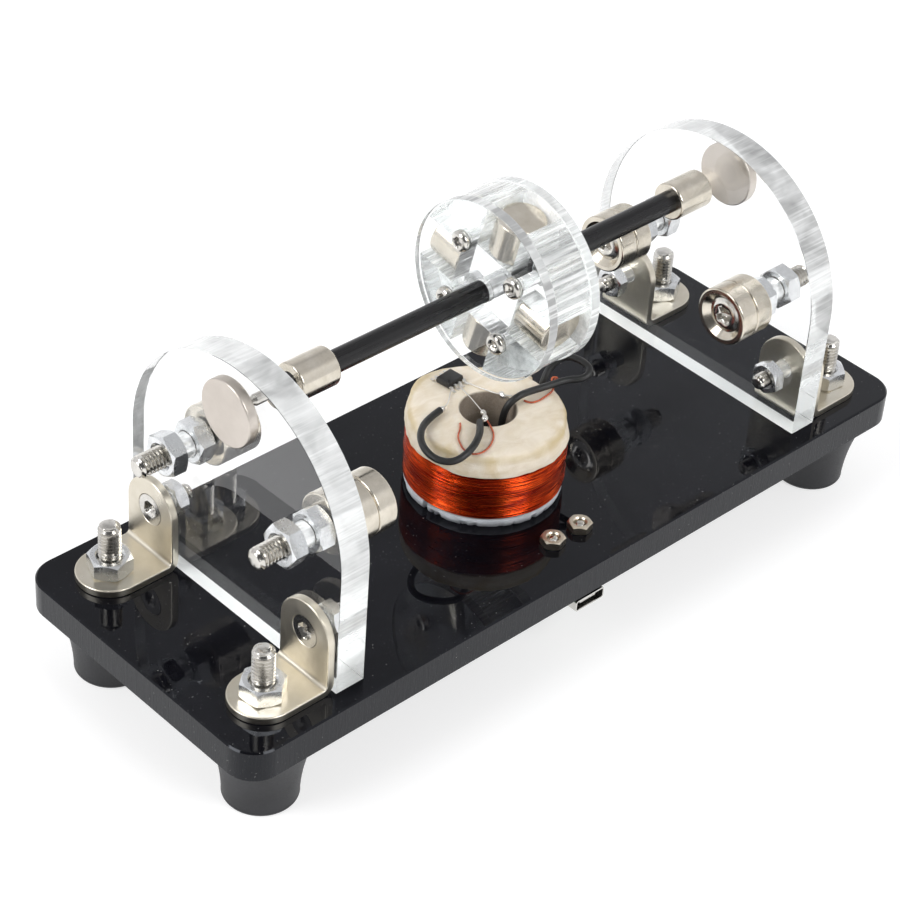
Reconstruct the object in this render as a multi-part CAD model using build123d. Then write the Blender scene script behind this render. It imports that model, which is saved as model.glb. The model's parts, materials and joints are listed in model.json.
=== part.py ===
from build123d import *
import os
from math import cos, pi, radians, sin, sqrt, tan

# A desk-top demonstration motor. A clear rotor with four magnets turns on a black rod above one coil.
# The rod floats between magnets, and only its steel point runs against the left end plate.
# Millimetres. X runs along the rod, +Z is up, and the origin is on the table under the middle of the base.

os.makedirs("parts", exist_ok=True)

# Running and fitting clearances.
SCREW_CLEARANCE = 0.2
NUT_CLEARANCE = 0.05
SEAT_GAP = 0.02

# Base and feet.
BASE_LENGTH = 160.0
BASE_WIDTH = 60.0
BASE_THICKNESS = 6.0
BASE_CORNER_RADIUS = 5.5
BASE_EDGE_BREAK = 0.3
FOOT_HEIGHT = 14.0
FOOT_TOP_RADIUS = 8.75
FOOT_WAIST_RADIUS = 6.55
FOOT_LIP = 1.2
FOOT_EDGE_RADIUS = 0.9
FOOT_POCKET_RADIUS = 4.5
FOOT_POCKET_DEPTH = 6.2
FOOT_INSET = 10.0
FOOT_SCREW_LENGTH = 25.0

# Metric hardware: thread, nut and head sizes.
M4_THREAD = 4.0
M4_NUT_FLATS = 7.0
M4_NUT_HEIGHT = 3.2
M4_PAN_DIAMETER = 8.0
M4_PAN_HEIGHT = 2.6
M3_THREAD = 3.0
M3_NUT_FLATS = 5.5
M3_NUT_HEIGHT = 2.4
M3_HEAD_DIAMETER = 5.7
M2_THREAD = 2.0
M2_NUT_FLATS = 4.0
M2_NUT_HEIGHT = 1.6
M2_PAN_DIAMETER = 3.9
M2_PAN_HEIGHT = 1.4
SLOT_SHARE = 0.18

# End plates and their corner brackets.
PLATE_INSET = 27.0
PLATE_THICKNESS = 6.0
PLATE_SIDE_MARGIN = 3.5
PLATE_ABOVE_AXIS = 8.0
BRACKET_WIDTH = 12.0
BRACKET_THICKNESS = 1.5
BRACKET_HOLE_REACH = 10.0
BRACKET_BEND_RADIUS = 0.8
BRACKET_EDGE_BREAK = 0.25
BRACKET_SCREW_LENGTH = 12.0
BRACKET_SINK_CLEARANCE = 0.15

# Coil, standing on the base a little left of the middle.
COIL_X = -1.0
COIL_BORE_RADIUS = 5.0
COIL_CORE_WALL = 1.5
COIL_FLANGE_RADIUS = 14.4
COIL_FLANGE_THICKNESS = 1.8
WINDING_RADIUS = 14.6
WINDING_HEIGHT = 9.0
COLLAR_RADIUS = 14.7
COLLAR_THICKNESS = 4.7
COLLAR_NOTCH_WIDTH = 3.9
COLLAR_NOTCH_DEPTH = 1.5
COLLAR_NOTCH_ANGLE = 3.0
WIRE_HOLE_RADIUS = 4.6

# Rotor on its rod.
ROTOR_X = 0.7
ROTOR_RADIUS = 16.5
ROTOR_AIR_GAP = 10.0
DISC_THICKNESS = 2.0
CORE_RADIUS = 16.2
CORE_HUB_RADIUS = 7.2
ROTOR_MAGNETS = 4
ROTOR_MAGNET_DIAMETER = 7.9
ROTOR_MAGNET_LENGTH = 7.0
ROTOR_MAGNET_GAP = 0.1
ROTOR_MAGNET_SIDE_GAP = 0.2
ROTOR_TURN = 12.0
ROTOR_SCREW_RADIUS = 9.3
ROTOR_SCREW_LENGTH = 14.0
ROD_DIAMETER = 4.0
ROD_END_SETBACK = 0.5
TUBE_MAGNET_DIAMETER = 7.0
TUBE_MAGNET_LENGTH = 8.0
TUBE_MAGNET_PLATE_GAP_LEFT = 5.4
TUBE_MAGNET_PLATE_GAP_RIGHT = 4.0
PIN_DIAMETER = 2.0
PIN_DEPTH = 4.0
PIN_TIP_GAP = 0.2
PIN_POINT_LENGTH = 1.2

# Lifting magnets on adjusting screws, and the disc magnets outside the plates.
ADJUSTER_SPREAD = 15.0
ADJUSTER_DROP = 17.0
ADJUSTER_SCREW_LENGTH = 25.0
ADJUSTER_HEAD_RECESS = 0.7
ADJUSTER_HEAD_DIAMETER = 6.6
ADJUSTER_HEAD_CROWN = 0.4
ADJUSTER_SINK_CLEARANCE = 0.1
ADJUSTER_NUT_GAP = 0.4
RING_MAGNET_DIAMETER = 11.0
RING_MAGNET_THICKNESS = 3.9
RING_MAGNET_EDGE = 0.35
RING_MAGNET_PARTING = 0.02
END_MAGNET_DIAMETER = 12.0
END_MAGNET_THICKNESS = 2.0
END_MAGNET_EDGE = 0.3

# Hall sensor, its leads, and the wires.
HALL_PLACE = (-1.0, 10.0)
HALL_SIZE = (4.1, 3.5, 1.5)
HALL_TURN = 6.0
HALL_BEVEL = 0.4
LEAD_DIAMETER = 0.45
ENAMEL_DIAMETER = 0.35
SLEEVE_DIAMETER = 1.3
SOLDER_BEAD_RADIUS = 0.7

# USB board under the front edge.
BOARD_LENGTH = 15.0
BOARD_DEPTH = 15.6
BOARD_THICKNESS = 0.6
BOARD_X = -0.95
BOARD_EDGE_INSET = 1.2
BOARD_HOLE_PITCH = 6.66
BOARD_HOLE_INSET = 8.8
BOARD_SCREW_LENGTH = 8.0
SOCKET_X = -2.8
SOCKET_WIDTH = 7.0
SOCKET_HEIGHT = 2.4
SOCKET_DEPTH = 5.6
SOCKET_WALL = 0.3
SOCKET_CORNER = 0.6
SOCKET_EDGE_INSET = 0.1

# Places that follow from the sizes above.
BASE_BOTTOM = FOOT_HEIGHT
BASE_TOP = BASE_BOTTOM + BASE_THICKNESS
PLATE_INNER = BASE_LENGTH / 2 - PLATE_INSET
PLATE_OUTER = PLATE_INNER + PLATE_THICKNESS
PLATE_HALF_WIDTH = BASE_WIDTH / 2 - PLATE_SIDE_MARGIN
CORE_TOP = BASE_TOP + COIL_FLANGE_THICKNESS + WINDING_HEIGHT
COLLAR_TOP = CORE_TOP + COLLAR_THICKNESS
AXIS_Z = COLLAR_TOP + ROTOR_AIR_GAP + ROTOR_RADIUS
PLATE_TOP = AXIS_Z + PLATE_ABOVE_AXIS
FOOT_X = PLATE_OUTER + BRACKET_HOLE_REACH
FOOT_Y = BASE_WIDTH / 2 - FOOT_INSET
BRACKET_TOP = BRACKET_HOLE_REACH + BRACKET_WIDTH / 2
BRACKET_HOLE_Z = BASE_TOP + BRACKET_HOLE_REACH
ADJUSTER_Z = AXIS_Z - ADJUSTER_DROP
CORE_BOTTOM = BASE_TOP + COIL_FLANGE_THICKNESS
CORE_THICKNESS = ROTOR_MAGNET_DIAMETER + ROTOR_MAGNET_GAP
CORE_NOTCH_WIDTH = ROTOR_MAGNET_DIAMETER + 2 * ROTOR_MAGNET_SIDE_GAP
CORNERS = {"front_left": (-1, -1), "front_right": (1, -1), "back_left": (-1, 1), "back_right": (1, 1)}
SIDES = {"left": -1, "right": 1}


def save(name, *shapes):
    solids = [solid for shape in shapes for solid in shape.solids()]
    export_step(Compound(solids), f"parts/{name}.step")


def facing_x(x, y, z, side=1):
    """A plane across the rod, whose normal points to +X or -X, with its own x along +Y."""
    return Plane(origin=(x, y, z), x_dir=(0, 1, 0), z_dir=(side, 0, 0))


def bar(radius, start, end):
    return Pos(0, 0, (start + end) / 2) * Cylinder(radius, end - start)


def cone_between(radius_start, radius_end, start, end):
    return Pos(0, 0, (start + end) / 2) * Cone(radius_start, radius_end, end - start)


def turned(points):
    """A solid of revolution about Z, from an outline of (radius, height) points."""
    outline = Plane.XZ * Polyline(*points, close=True)
    return revolve(make_face(outline), Axis.Z)


def hex_nut(flats, height, bore, turn=0.0):
    """A nut from z = 0 up, with its corners and its bore chamfered."""
    corner = flats / sqrt(3)
    flat_radius = 0.48 * flats
    drop = (corner - flat_radius) * tan(radians(30))
    blank = extrude(Rot(0, 0, turn) * RegularPolygon(corner, 6), height)
    rounded = turned([
        (0, 0), (flat_radius, 0), (corner, drop), (corner, height - drop), (flat_radius, height), (0, height),
    ])
    lead_in = 0.12 * bore
    hole = bar(bore / 2, -1, height + 1)
    hole += cone_between(bore / 2 + lead_in, bore / 2, 0, lead_in)
    hole += cone_between(bore / 2, bore / 2 + lead_in, height - lead_in, height)
    return (blank & rounded) - hole


def cross_recess(head_diameter, top, depth):
    """Two crossed tapering slots, cut down from z = top."""
    arm = Rectangle(0.56 * head_diameter, SLOT_SHARE * head_diameter)
    slot = extrude(Pos(0, 0, top) * arm, amount=-depth, taper=12)
    return slot + Rot(0, 0, 90) * slot


def shank(thread, start, end):
    """A screw's threaded length, at its outer diameter, with a chamfered tip."""
    tip = 0.15 * thread
    return bar(thread / 2, start, end - tip) + cone_between(thread / 2, thread / 2 - tip, end - tip, end)


def pan_screw(thread, length, head_diameter, head_height):
    """A screw along +Z whose head sits below z = 0."""
    rim = (head_diameter / 2, -0.45 * head_height)
    shoulder = (0.86 * head_diameter / 2, -0.85 * head_height)
    crown = (0.6 * head_diameter / 2, -head_height)
    dome = Plane.XZ * (
        Polyline((0, 0), (head_diameter / 2, 0), rim)
        + ThreePointArc(rim, shoulder, crown)
        + Polyline(crown, (0, -head_height), (0, 0))
    )
    head = revolve(make_face(dome), Axis.Z)
    recess = Rot(180, 0, 0) * cross_recess(head_diameter, head_height, 0.62 * head_height)
    return (head - recess) + shank(thread, 0, length)


def sunk_screw(thread, length, head_diameter, crown):
    """A flat-headed screw along +Z with its head's face at z = 0, raised in the middle by crown."""
    half = head_diameter / 2
    depth = half - thread / 2
    head = turned([(0, 0), (0.72 * half, 0), (half, crown), (thread / 2, crown + depth), (0, crown + depth)])
    recess = Rot(180, 0, 0) * cross_recess(head_diameter, 0, 0.62 * depth + crown)
    return (head - recess) + shank(thread, crown + depth, length)


def sink(bore_radius, mouth_radius, length):
    """The space of a countersunk hole from z = 0 up to z = length."""
    cone = cone_between(mouth_radius, bore_radius, 0, mouth_radius - bore_radius)
    return cone + bar(bore_radius, -1, length)


def base_plate():
    plate = Pos(0, 0, BASE_BOTTOM) * extrude(
        RectangleRounded(BASE_LENGTH, BASE_WIDTH, BASE_CORNER_RADIUS), BASE_THICKNESS
    )
    plate = chamfer(plate.faces().sort_by(Axis.Z)[-1].edges(), BASE_EDGE_BREAK)
    foot_hole = bar(M4_THREAD / 2 + SCREW_CLEARANCE, BASE_BOTTOM - 1, BASE_TOP + 1)
    board_hole = bar(M2_THREAD / 2 + SCREW_CLEARANCE, BASE_BOTTOM - 1, BASE_TOP + 1)
    for side_x, side_y in CORNERS.values():
        plate -= Pos(side_x * FOOT_X, side_y * FOOT_Y, 0) * foot_hole
    for x, y in board_holes():
        plate -= Pos(x, y, 0) * board_hole
    return plate - Pos(COIL_X, 0, 0) * bar(WIRE_HOLE_RADIUS, BASE_BOTTOM - 1, BASE_TOP + 1)


def foot():
    """A flared rubber foot, bored for its screw, with a pocket below for the screw's head."""
    bore = M4_THREAD / 2 + SCREW_CLEARANCE
    bottom = FOOT_WAIST_RADIUS - FOOT_EDGE_RADIUS / 2
    lip_z = FOOT_HEIGHT - FOOT_LIP
    side = Plane.XZ * (
        Line((bore, FOOT_POCKET_DEPTH), (bore, FOOT_HEIGHT))
        + Line((bore, FOOT_HEIGHT), (FOOT_TOP_RADIUS, FOOT_HEIGHT))
        + Line((FOOT_TOP_RADIUS, FOOT_HEIGHT), (FOOT_TOP_RADIUS, lip_z))
        + ThreePointArc(
            (FOOT_TOP_RADIUS, lip_z),
            (0.7 * FOOT_WAIST_RADIUS + 0.3 * FOOT_TOP_RADIUS, 0.5 * FOOT_HEIGHT),
            (FOOT_WAIST_RADIUS, FOOT_EDGE_RADIUS),
        )
        + ThreePointArc(
            (FOOT_WAIST_RADIUS, FOOT_EDGE_RADIUS),
            (FOOT_WAIST_RADIUS - 0.15 * FOOT_EDGE_RADIUS, 0.25 * FOOT_EDGE_RADIUS),
            (bottom, 0),
        )
        + Line((bottom, 0), (FOOT_POCKET_RADIUS, 0))
        + Line((FOOT_POCKET_RADIUS, 0), (FOOT_POCKET_RADIUS, FOOT_POCKET_DEPTH))
        + Line((FOOT_POCKET_RADIUS, FOOT_POCKET_DEPTH), (bore, FOOT_POCKET_DEPTH))
    )
    return revolve(make_face(side), Axis.Z)


def end_plate(side):
    """A clear plate with a round top, standing on the base, with its holes."""
    arch_z = PLATE_TOP - PLATE_HALF_WIDTH
    outline = Polyline(
        (-PLATE_HALF_WIDTH, arch_z), (-PLATE_HALF_WIDTH, BASE_TOP),
        (PLATE_HALF_WIDTH, BASE_TOP), (PLATE_HALF_WIDTH, arch_z),
    ) + RadiusArc((-PLATE_HALF_WIDTH, arch_z), (PLATE_HALF_WIDTH, arch_z), PLATE_HALF_WIDTH)
    plate = extrude(facing_x(PLATE_INNER, 0, 0) * make_face(outline), PLATE_THICKNESS)
    bracket_hole = bar(M3_THREAD / 2 + SCREW_CLEARANCE, -1, PLATE_THICKNESS + 1)
    adjuster_hole = bar(M4_THREAD / 2 + SCREW_CLEARANCE, -1, PLATE_THICKNESS + 1)
    for side_y in (-1, 1):
        plate -= facing_x(PLATE_INNER, side_y * FOOT_Y, BRACKET_HOLE_Z) * bracket_hole
        plate -= facing_x(PLATE_INNER, side_y * ADJUSTER_SPREAD, ADJUSTER_Z) * adjuster_hole
    return plate if side > 0 else Rot(0, 0, 180) * plate


def bracket():
    """A bent corner bracket, its corner at the origin, one leg along +X and one up."""
    thick = BRACKET_THICKNESS
    outer_bend = BRACKET_BEND_RADIUS + thick
    reach = BRACKET_TOP
    half = BRACKET_WIDTH / 2
    corner = Plane.XZ * make_face(Polyline(
        (0, 0), (reach, 0), (reach, thick), (thick, thick), (thick, reach), (0, reach), close=True
    ))
    blank = extrude(corner, half, both=True)
    folds = blank.edges().filter_by(Axis.Y).sort_by_distance((0, 0, 0))
    blank = fillet(folds[1], BRACKET_BEND_RADIUS)
    folds = blank.edges().filter_by(Axis.Y).sort_by_distance((0, 0, 0))
    blank = fillet(folds[0], outer_bend)
    round_end = Rectangle(BRACKET_HOLE_REACH, BRACKET_WIDTH, align=(Align.MIN, Align.CENTER))
    round_end += Pos(BRACKET_HOLE_REACH, 0) * Circle(half)
    from_above = extrude(round_end, reach)
    from_outside = extrude(Plane(origin=(0, 0, 0), x_dir=(0, 0, 1), z_dir=(1, 0, 0)) * round_end, reach)
    leg = (blank & from_above) & from_outside
    tops = leg.edges().group_by(Axis.Z)[-1] + leg.edges().group_by(Axis.X)[-1]
    leg = fillet(tops, BRACKET_EDGE_BREAK)
    leg -= Pos(BRACKET_HOLE_REACH, 0, 0) * bar(M4_THREAD / 2 + SCREW_CLEARANCE, -1, thick + 1)
    mouth = M3_HEAD_DIAMETER / 2 + BRACKET_SINK_CLEARANCE
    screw_hole = sink(M3_THREAD / 2 + SCREW_CLEARANCE, mouth, thick + 1)
    return leg - facing_x(thick, 0, BRACKET_HOLE_REACH, -1) * screw_hole


def coil_bobbin():
    flange = Circle(COIL_FLANGE_RADIUS) - Circle(COIL_BORE_RADIUS)
    core = Circle(COIL_BORE_RADIUS + COIL_CORE_WALL) - Circle(COIL_BORE_RADIUS)
    bobbin = Pos(0, 0, BASE_TOP) * extrude(flange, COIL_FLANGE_THICKNESS)
    return Pos(COIL_X, 0, 0) * (bobbin + Pos(0, 0, CORE_BOTTOM) * extrude(core, WINDING_HEIGHT))


def coil_winding():
    ring = Circle(WINDING_RADIUS) - Circle(COIL_BORE_RADIUS + COIL_CORE_WALL + SEAT_GAP)
    return Pos(COIL_X, 0, CORE_BOTTOM) * extrude(ring, WINDING_HEIGHT)


def coil_collar():
    """The thick ring on top of the winding, with one notch in its rim for the wire's end."""
    ring = Circle(COLLAR_RADIUS) - Circle(COIL_BORE_RADIUS)
    notch = Rot(0, 0, COLLAR_NOTCH_ANGLE) * Pos(COLLAR_RADIUS, 0) * Rectangle(
        2 * COLLAR_NOTCH_DEPTH, COLLAR_NOTCH_WIDTH
    )
    return Pos(COIL_X, 0, CORE_TOP) * extrude(ring - notch, COLLAR_THICKNESS)


def disc():
    plate = Circle(ROTOR_RADIUS) - Circle(ROD_DIAMETER / 2 + SEAT_GAP)
    return extrude(plate - rotor_screw_holes(), DISC_THICKNESS)


def rotor_angles(offset=0.0):
    return [ROTOR_TURN + offset + 360 * index / ROTOR_MAGNETS for index in range(ROTOR_MAGNETS)]


def rotor_screw_holes():
    hole = Pos(ROTOR_SCREW_RADIUS, 0) * Circle(M2_THREAD / 2 + SCREW_CLEARANCE / 2)
    return Sketch() + [Rot(0, 0, angle) * hole for angle in rotor_angles(45)]


def rotor_core():
    """The thick middle body, notched from its rim for the four magnets."""
    body = Circle(CORE_RADIUS) - Circle(ROD_DIAMETER / 2 + SEAT_GAP) - rotor_screw_holes()
    notch = Pos(CORE_HUB_RADIUS, 0) * Rectangle(
        CORE_RADIUS, CORE_NOTCH_WIDTH, align=(Align.MIN, Align.CENTER)
    )
    for angle in rotor_angles():
        body -= Rot(0, 0, angle) * notch
    return extrude(body, CORE_THICKNESS)


def rotor_magnet(angle):
    """A round magnet lying along the rotor's radius, half way through the core."""
    start = CORE_HUB_RADIUS + ROTOR_MAGNET_GAP
    magnet = bar(ROTOR_MAGNET_DIAMETER / 2, start, start + ROTOR_MAGNET_LENGTH)
    magnet = fillet(magnet.edges().filter_by(GeomType.CIRCLE), END_MAGNET_EDGE)
    return Pos(0, 0, CORE_THICKNESS / 2) * Rot(0, 0, angle) * Rot(0, 90, 0) * magnet


def tube_magnet():
    ring = Circle(TUBE_MAGNET_DIAMETER / 2) - Circle(ROD_DIAMETER / 2 + SEAT_GAP)
    magnet = extrude(ring, TUBE_MAGNET_LENGTH)
    rims = magnet.edges().filter_by(GeomType.CIRCLE).sort_by(SortBy.RADIUS)[-2:]
    return fillet(rims, RING_MAGNET_EDGE)


def rod(start, end):
    """The black rod, with a blind hole in its left end for the steel point."""
    solid = bar(ROD_DIAMETER / 2, start, end)
    solid = chamfer(solid.edges().filter_by(GeomType.CIRCLE), END_MAGNET_EDGE)
    return solid - bar(PIN_DIAMETER / 2 + SEAT_GAP / 2, start - 1, start + PIN_DEPTH)


def thrust_pin(start, end):
    """A steel pin along +Z that ends in a blunt point at z = start."""
    radius = PIN_DIAMETER / 2
    return turned([
        (0, start), (0.25 * radius, start), (radius, start + PIN_POINT_LENGTH), (radius, end), (0, end),
    ])


def ring_magnets():
    """Two stacked ring magnets from z = 0 up, the first one countersunk for the screw's head."""
    outer = RING_MAGNET_DIAMETER / 2
    bore = M4_THREAD / 2 + SEAT_GAP
    one = fillet(bar(outer, 0, RING_MAGNET_THICKNESS).edges(), RING_MAGNET_EDGE)
    head_depth = ADJUSTER_HEAD_RECESS + ADJUSTER_HEAD_CROWN
    mouth = ADJUSTER_HEAD_DIAMETER / 2 + head_depth + ADJUSTER_SINK_CLEARANCE
    first = one - sink(bore, mouth, RING_MAGNET_THICKNESS + 1)
    second = Pos(0, 0, RING_MAGNET_THICKNESS + RING_MAGNET_PARTING) * (one - bar(bore, -1, 2 * outer))
    return [first, second]


def disc_magnet():
    magnet = bar(END_MAGNET_DIAMETER / 2, 0, END_MAGNET_THICKNESS)
    return fillet(magnet.edges().filter_by(GeomType.CIRCLE), END_MAGNET_EDGE)


def board_front():
    return -BASE_WIDTH / 2 + BOARD_EDGE_INSET


def board_holes():
    y = -BASE_WIDTH / 2 + BOARD_HOLE_INSET
    return [(BOARD_X + side * BOARD_HOLE_PITCH / 2, y) for side in (-1, 1)]


def usb_board():
    board = Pos(BOARD_X, board_front() + BOARD_DEPTH / 2, BASE_BOTTOM - BOARD_THICKNESS) * extrude(
        RectangleRounded(BOARD_LENGTH, BOARD_DEPTH, SOCKET_CORNER), BOARD_THICKNESS
    )
    for x, y in board_holes():
        board -= Pos(x, y, 0) * bar(M2_THREAD / 2 + SCREW_CLEARANCE, 0, BASE_TOP)
    return board


def usb_socket():
    """The open-fronted steel shell, and the contact tongue inside it."""
    front_y = -BASE_WIDTH / 2 + SOCKET_EDGE_INSET
    middle_z = BASE_BOTTOM - BOARD_THICKNESS - SOCKET_HEIGHT / 2
    front = Plane(origin=(SOCKET_X, front_y, middle_z), x_dir=(1, 0, 0), z_dir=(0, 1, 0))
    inner_width = SOCKET_WIDTH - 2 * SOCKET_WALL
    inner_height = SOCKET_HEIGHT - 2 * SOCKET_WALL
    shell = extrude(front * RectangleRounded(SOCKET_WIDTH, SOCKET_HEIGHT, SOCKET_CORNER), SOCKET_DEPTH)
    mouth = RectangleRounded(inner_width, inner_height, SOCKET_CORNER - SOCKET_WALL)
    shell -= extrude(front * mouth, SOCKET_DEPTH - SOCKET_WALL)
    tongue = Rectangle(0.6 * inner_width, 0.3 * inner_height)
    return shell + extrude(front.offset(2 * SOCKET_WALL) * tongue, SOCKET_DEPTH - 3 * SOCKET_WALL)


def hall_sensor():
    length, width, height = HALL_SIZE
    body = Box(length, width, height, align=(Align.CENTER, Align.CENTER, Align.MIN))
    body = chamfer(body.faces().sort_by(Axis.Z)[-1].edges(), HALL_BEVEL)
    return Pos(*HALL_PLACE, COLLAR_TOP) * Rot(0, 0, HALL_TURN) * body


def bend_radii(points):
    """Each corner's arc is as large as its two runs allow."""
    radii = []
    for before, corner, after in zip(points, points[1:], points[2:]):
        arriving = Vector(*corner) - Vector(*before)
        leaving = Vector(*after) - Vector(*corner)
        half_turn = radians(arriving.get_angle(leaving)) / 2
        radii.append(0.45 * min(arriving.length, leaving.length) / tan(half_turn))
    return radii


def wire(name, points, diameter):
    """A round wire along straight runs joined by arcs. Heights are measured from the collar's top."""
    placed = [(x, y, COLLAR_TOP + z) for x, y, z in points]
    radii = bend_radii(placed)
    path = FilletPolyline(*placed, radius=radii)
    section = Plane(origin=path @ 0, z_dir=path % 0) * Circle(diameter / 2)
    solid = sweep(section, path=path)
    share = solid.volume / (pi * diameter ** 2 / 4 * path.length)
    print(f"{name}: length {path.length:.1f}, volume {share:.3f} of section times length")
    print("  bends", [round(radius, 1) for radius in radii])
    return solid


# The wires' points: x and y from the middle of the base, and the height above the collar's top.
# The sensor wire loops from the sensor's left lead out over the collar's rim and back to its bore.
SENSOR_WIRE = [
    (-8.9, 4.0, 0.9), (-13.0, 3.3, 1.0), (-16.7, 0.9, 1.1), (-18.6, -2.2, 0.8), (-18.6, -5.4, 0.2),
    (-16.5, -7.8, 0.1), (-13.3, -8.2, 1.2), (-9.9, -6.7, 1.5), (-7.4, -4.6, 1.3), (-5.8, -2.8, 0.9),
]
# The coil wire comes from the board, up through the base and the bore, out over the collar's rim,
# and turns back into the notch.
COIL_WIRE = [
    (1.6, -17.2, -22.75), (1.4, -9.4, -23.0), (1.1, -1.4, -22.9), (1.4, -1.0, -15.8), (1.0, -1.4, -9.0),
    (1.4, -1.2, -3.4), (1.9, -1.6, 0.2), (4.3, -2.3, 1.8), (7.7, -2.2, 1.2), (11.2, -3.0, 1.2),
    (14.6, -3.6, 1.2), (17.3, -5.8, 1.5), (19.3, -5.2, 2.4), (19.5, -2.3, 2.7), (18.6, 0.6, 2.4),
    (16.3, 1.7, 0.9), (14.1, 1.3, -1.2), (13.2, 1.0, -3.4),
]
# The supply wire runs from the board up through the base and the bore to the joint at the bore's rim.
SUPPLY_WIRE = [
    (-3.8, -17.0, -22.75), (-4.0, -9.4, -23.0), (-3.6, -1.6, -22.9), (-3.3, -1.8, -16.0), (-3.7, -1.5, -9.6),
    (-3.4, -1.8, -3.8), (-3.7, -1.9, 0.3),
]
# The three sensor leads, and the two ends of enamelled coil wire.
LEADS = [
    [(-2.3, 8.0, 0.6), (-3.6, 7.1, 0.35), (-5.0, 5.9, 0.35), (-6.4, 4.8, 0.5), (-8.4, 4.1, 0.85)],
    [(-0.8, 8.0, 0.6), (-1.1, 6.3, 0.35), (-1.6, 4.1, 0.4), (-2.4, 1.8, 0.6), (-3.1, -0.6, 0.6)],
    [(0.5, 8.2, 0.6), (1.6, 5.4, 0.35), (2.4, 2.6, 0.45), (2.8, 0.4, 0.9), (3.2, -1.4, 1.6)],
]
RED_WIRE = [
    (-8.1, -0.3, 0.2), (-9.1, -1.5, 0.22), (-10.9, -2.6, 0.2), (-12.2, -4.6, 0.22), (-13.0, -6.6, 0.2),
    (-12.4, -8.5, 0.22), (-10.4, -8.9, 0.2), (-8.0, -8.1, 0.22), (-5.9, -6.6, 0.2), (-4.7, -4.7, 0.22),
    (-4.2, -3.0, 0.5),
]
ORANGE_WIRE = [
    (5.4, -2.5, 0.2), (5.6, -3.7, 0.22), (7.4, -4.2, 0.2), (9.8, -3.9, 0.22), (11.8, -3.6, 0.2),
    (13.1, -2.4, 0.22), (13.5, -0.9, -0.3), (13.4, -0.5, -2.5),
]
SOLDER_BEADS = [
    (-8.5, 4.1, 0.85), (-3.2, -1.0, 0.6), (-4.3, -2.5, 0.8), (2.8, 0.5, 0.9),
    (1.6, -17.6, -22.6), (-3.8, -17.4, -22.6),
]


def write_base():
    save("base_plate", base_plate())
    screw = pan_screw(M4_THREAD, FOOT_SCREW_LENGTH, M4_PAN_DIAMETER, M4_PAN_HEIGHT)
    screws = []
    nuts = []
    nut_z = BASE_TOP + BRACKET_THICKNESS
    for index, (corner, (side_x, side_y)) in enumerate(CORNERS.items()):
        place = Pos(side_x * FOOT_X, side_y * FOOT_Y, 0)
        save(f"foot_{corner}", place * foot())
        screws.append(place * Pos(0, 0, FOOT_POCKET_DEPTH) * screw)
        nut = hex_nut(M4_NUT_FLATS, M4_NUT_HEIGHT, M4_THREAD + 2 * NUT_CLEARANCE, 37 + 17 * index)
        nuts.append(place * Pos(0, 0, nut_z) * nut)
    save("foot_screws", *screws)
    save("foot_nuts", *nuts)


def write_ends():
    screw = sunk_screw(M3_THREAD, BRACKET_SCREW_LENGTH, M3_HEAD_DIAMETER, 0.0)
    screws = []
    nuts = []
    for index, (corner, (side_x, side_y)) in enumerate(CORNERS.items()):
        facing = Rot(0, 0, 0 if side_x > 0 else 180)
        save(f"bracket_{corner}", Pos(side_x * PLATE_OUTER, side_y * FOOT_Y, BASE_TOP) * facing * bracket())
        head_x = side_x * (PLATE_OUTER + BRACKET_THICKNESS - SEAT_GAP)
        head = facing_x(head_x, side_y * FOOT_Y, BRACKET_HOLE_Z, -side_x)
        screws.append(head * Rot(0, 0, 25 * index) * screw)
        nut = hex_nut(M3_NUT_FLATS, M3_NUT_HEIGHT, M3_THREAD + 2 * NUT_CLEARANCE, 11 + 23 * index)
        nuts.append(facing_x(side_x * PLATE_INNER, side_y * FOOT_Y, BRACKET_HOLE_Z, -side_x) * nut)
    save("bracket_screws", *screws)
    save("bracket_nuts", *nuts)
    for name, side in SIDES.items():
        save(f"end_plate_{name}", end_plate(side))
        save(f"end_magnet_{name}", facing_x(side * PLATE_OUTER, 0, AXIS_Z, side) * disc_magnet())


def write_adjusters():
    stack = 2 * RING_MAGNET_THICKNESS + RING_MAGNET_PARTING
    face_x = PLATE_INNER - M4_NUT_HEIGHT - ADJUSTER_NUT_GAP - stack
    screw = sunk_screw(M4_THREAD, ADJUSTER_SCREW_LENGTH, ADJUSTER_HEAD_DIAMETER, ADJUSTER_HEAD_CROWN)
    inner_nuts = []
    outer_nuts = []
    for index, (corner, (side_x, side_y)) in enumerate(CORNERS.items()):
        y = side_y * ADJUSTER_SPREAD
        head = facing_x(side_x * (face_x + ADJUSTER_HEAD_RECESS), y, ADJUSTER_Z, side_x)
        save(f"adjuster_screw_{corner}", head * Rot(0, 0, 20 + 31 * index) * screw)
        face = facing_x(side_x * face_x, y, ADJUSTER_Z, side_x)
        save(f"adjuster_magnets_{corner}", *[face * magnet for magnet in ring_magnets()])
        nut = hex_nut(M4_NUT_FLATS, M4_NUT_HEIGHT, M4_THREAD + 2 * NUT_CLEARANCE, 19 + 13 * index)
        inner_nuts.append(facing_x(side_x * PLATE_INNER, y, ADJUSTER_Z, -side_x) * nut)
        outer_nuts.append(facing_x(side_x * PLATE_OUTER, y, ADJUSTER_Z, side_x) * Rot(0, 0, 41) * nut)
    save("adjuster_inner_nuts", *inner_nuts)
    save("adjuster_outer_nuts", *outer_nuts)


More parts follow.
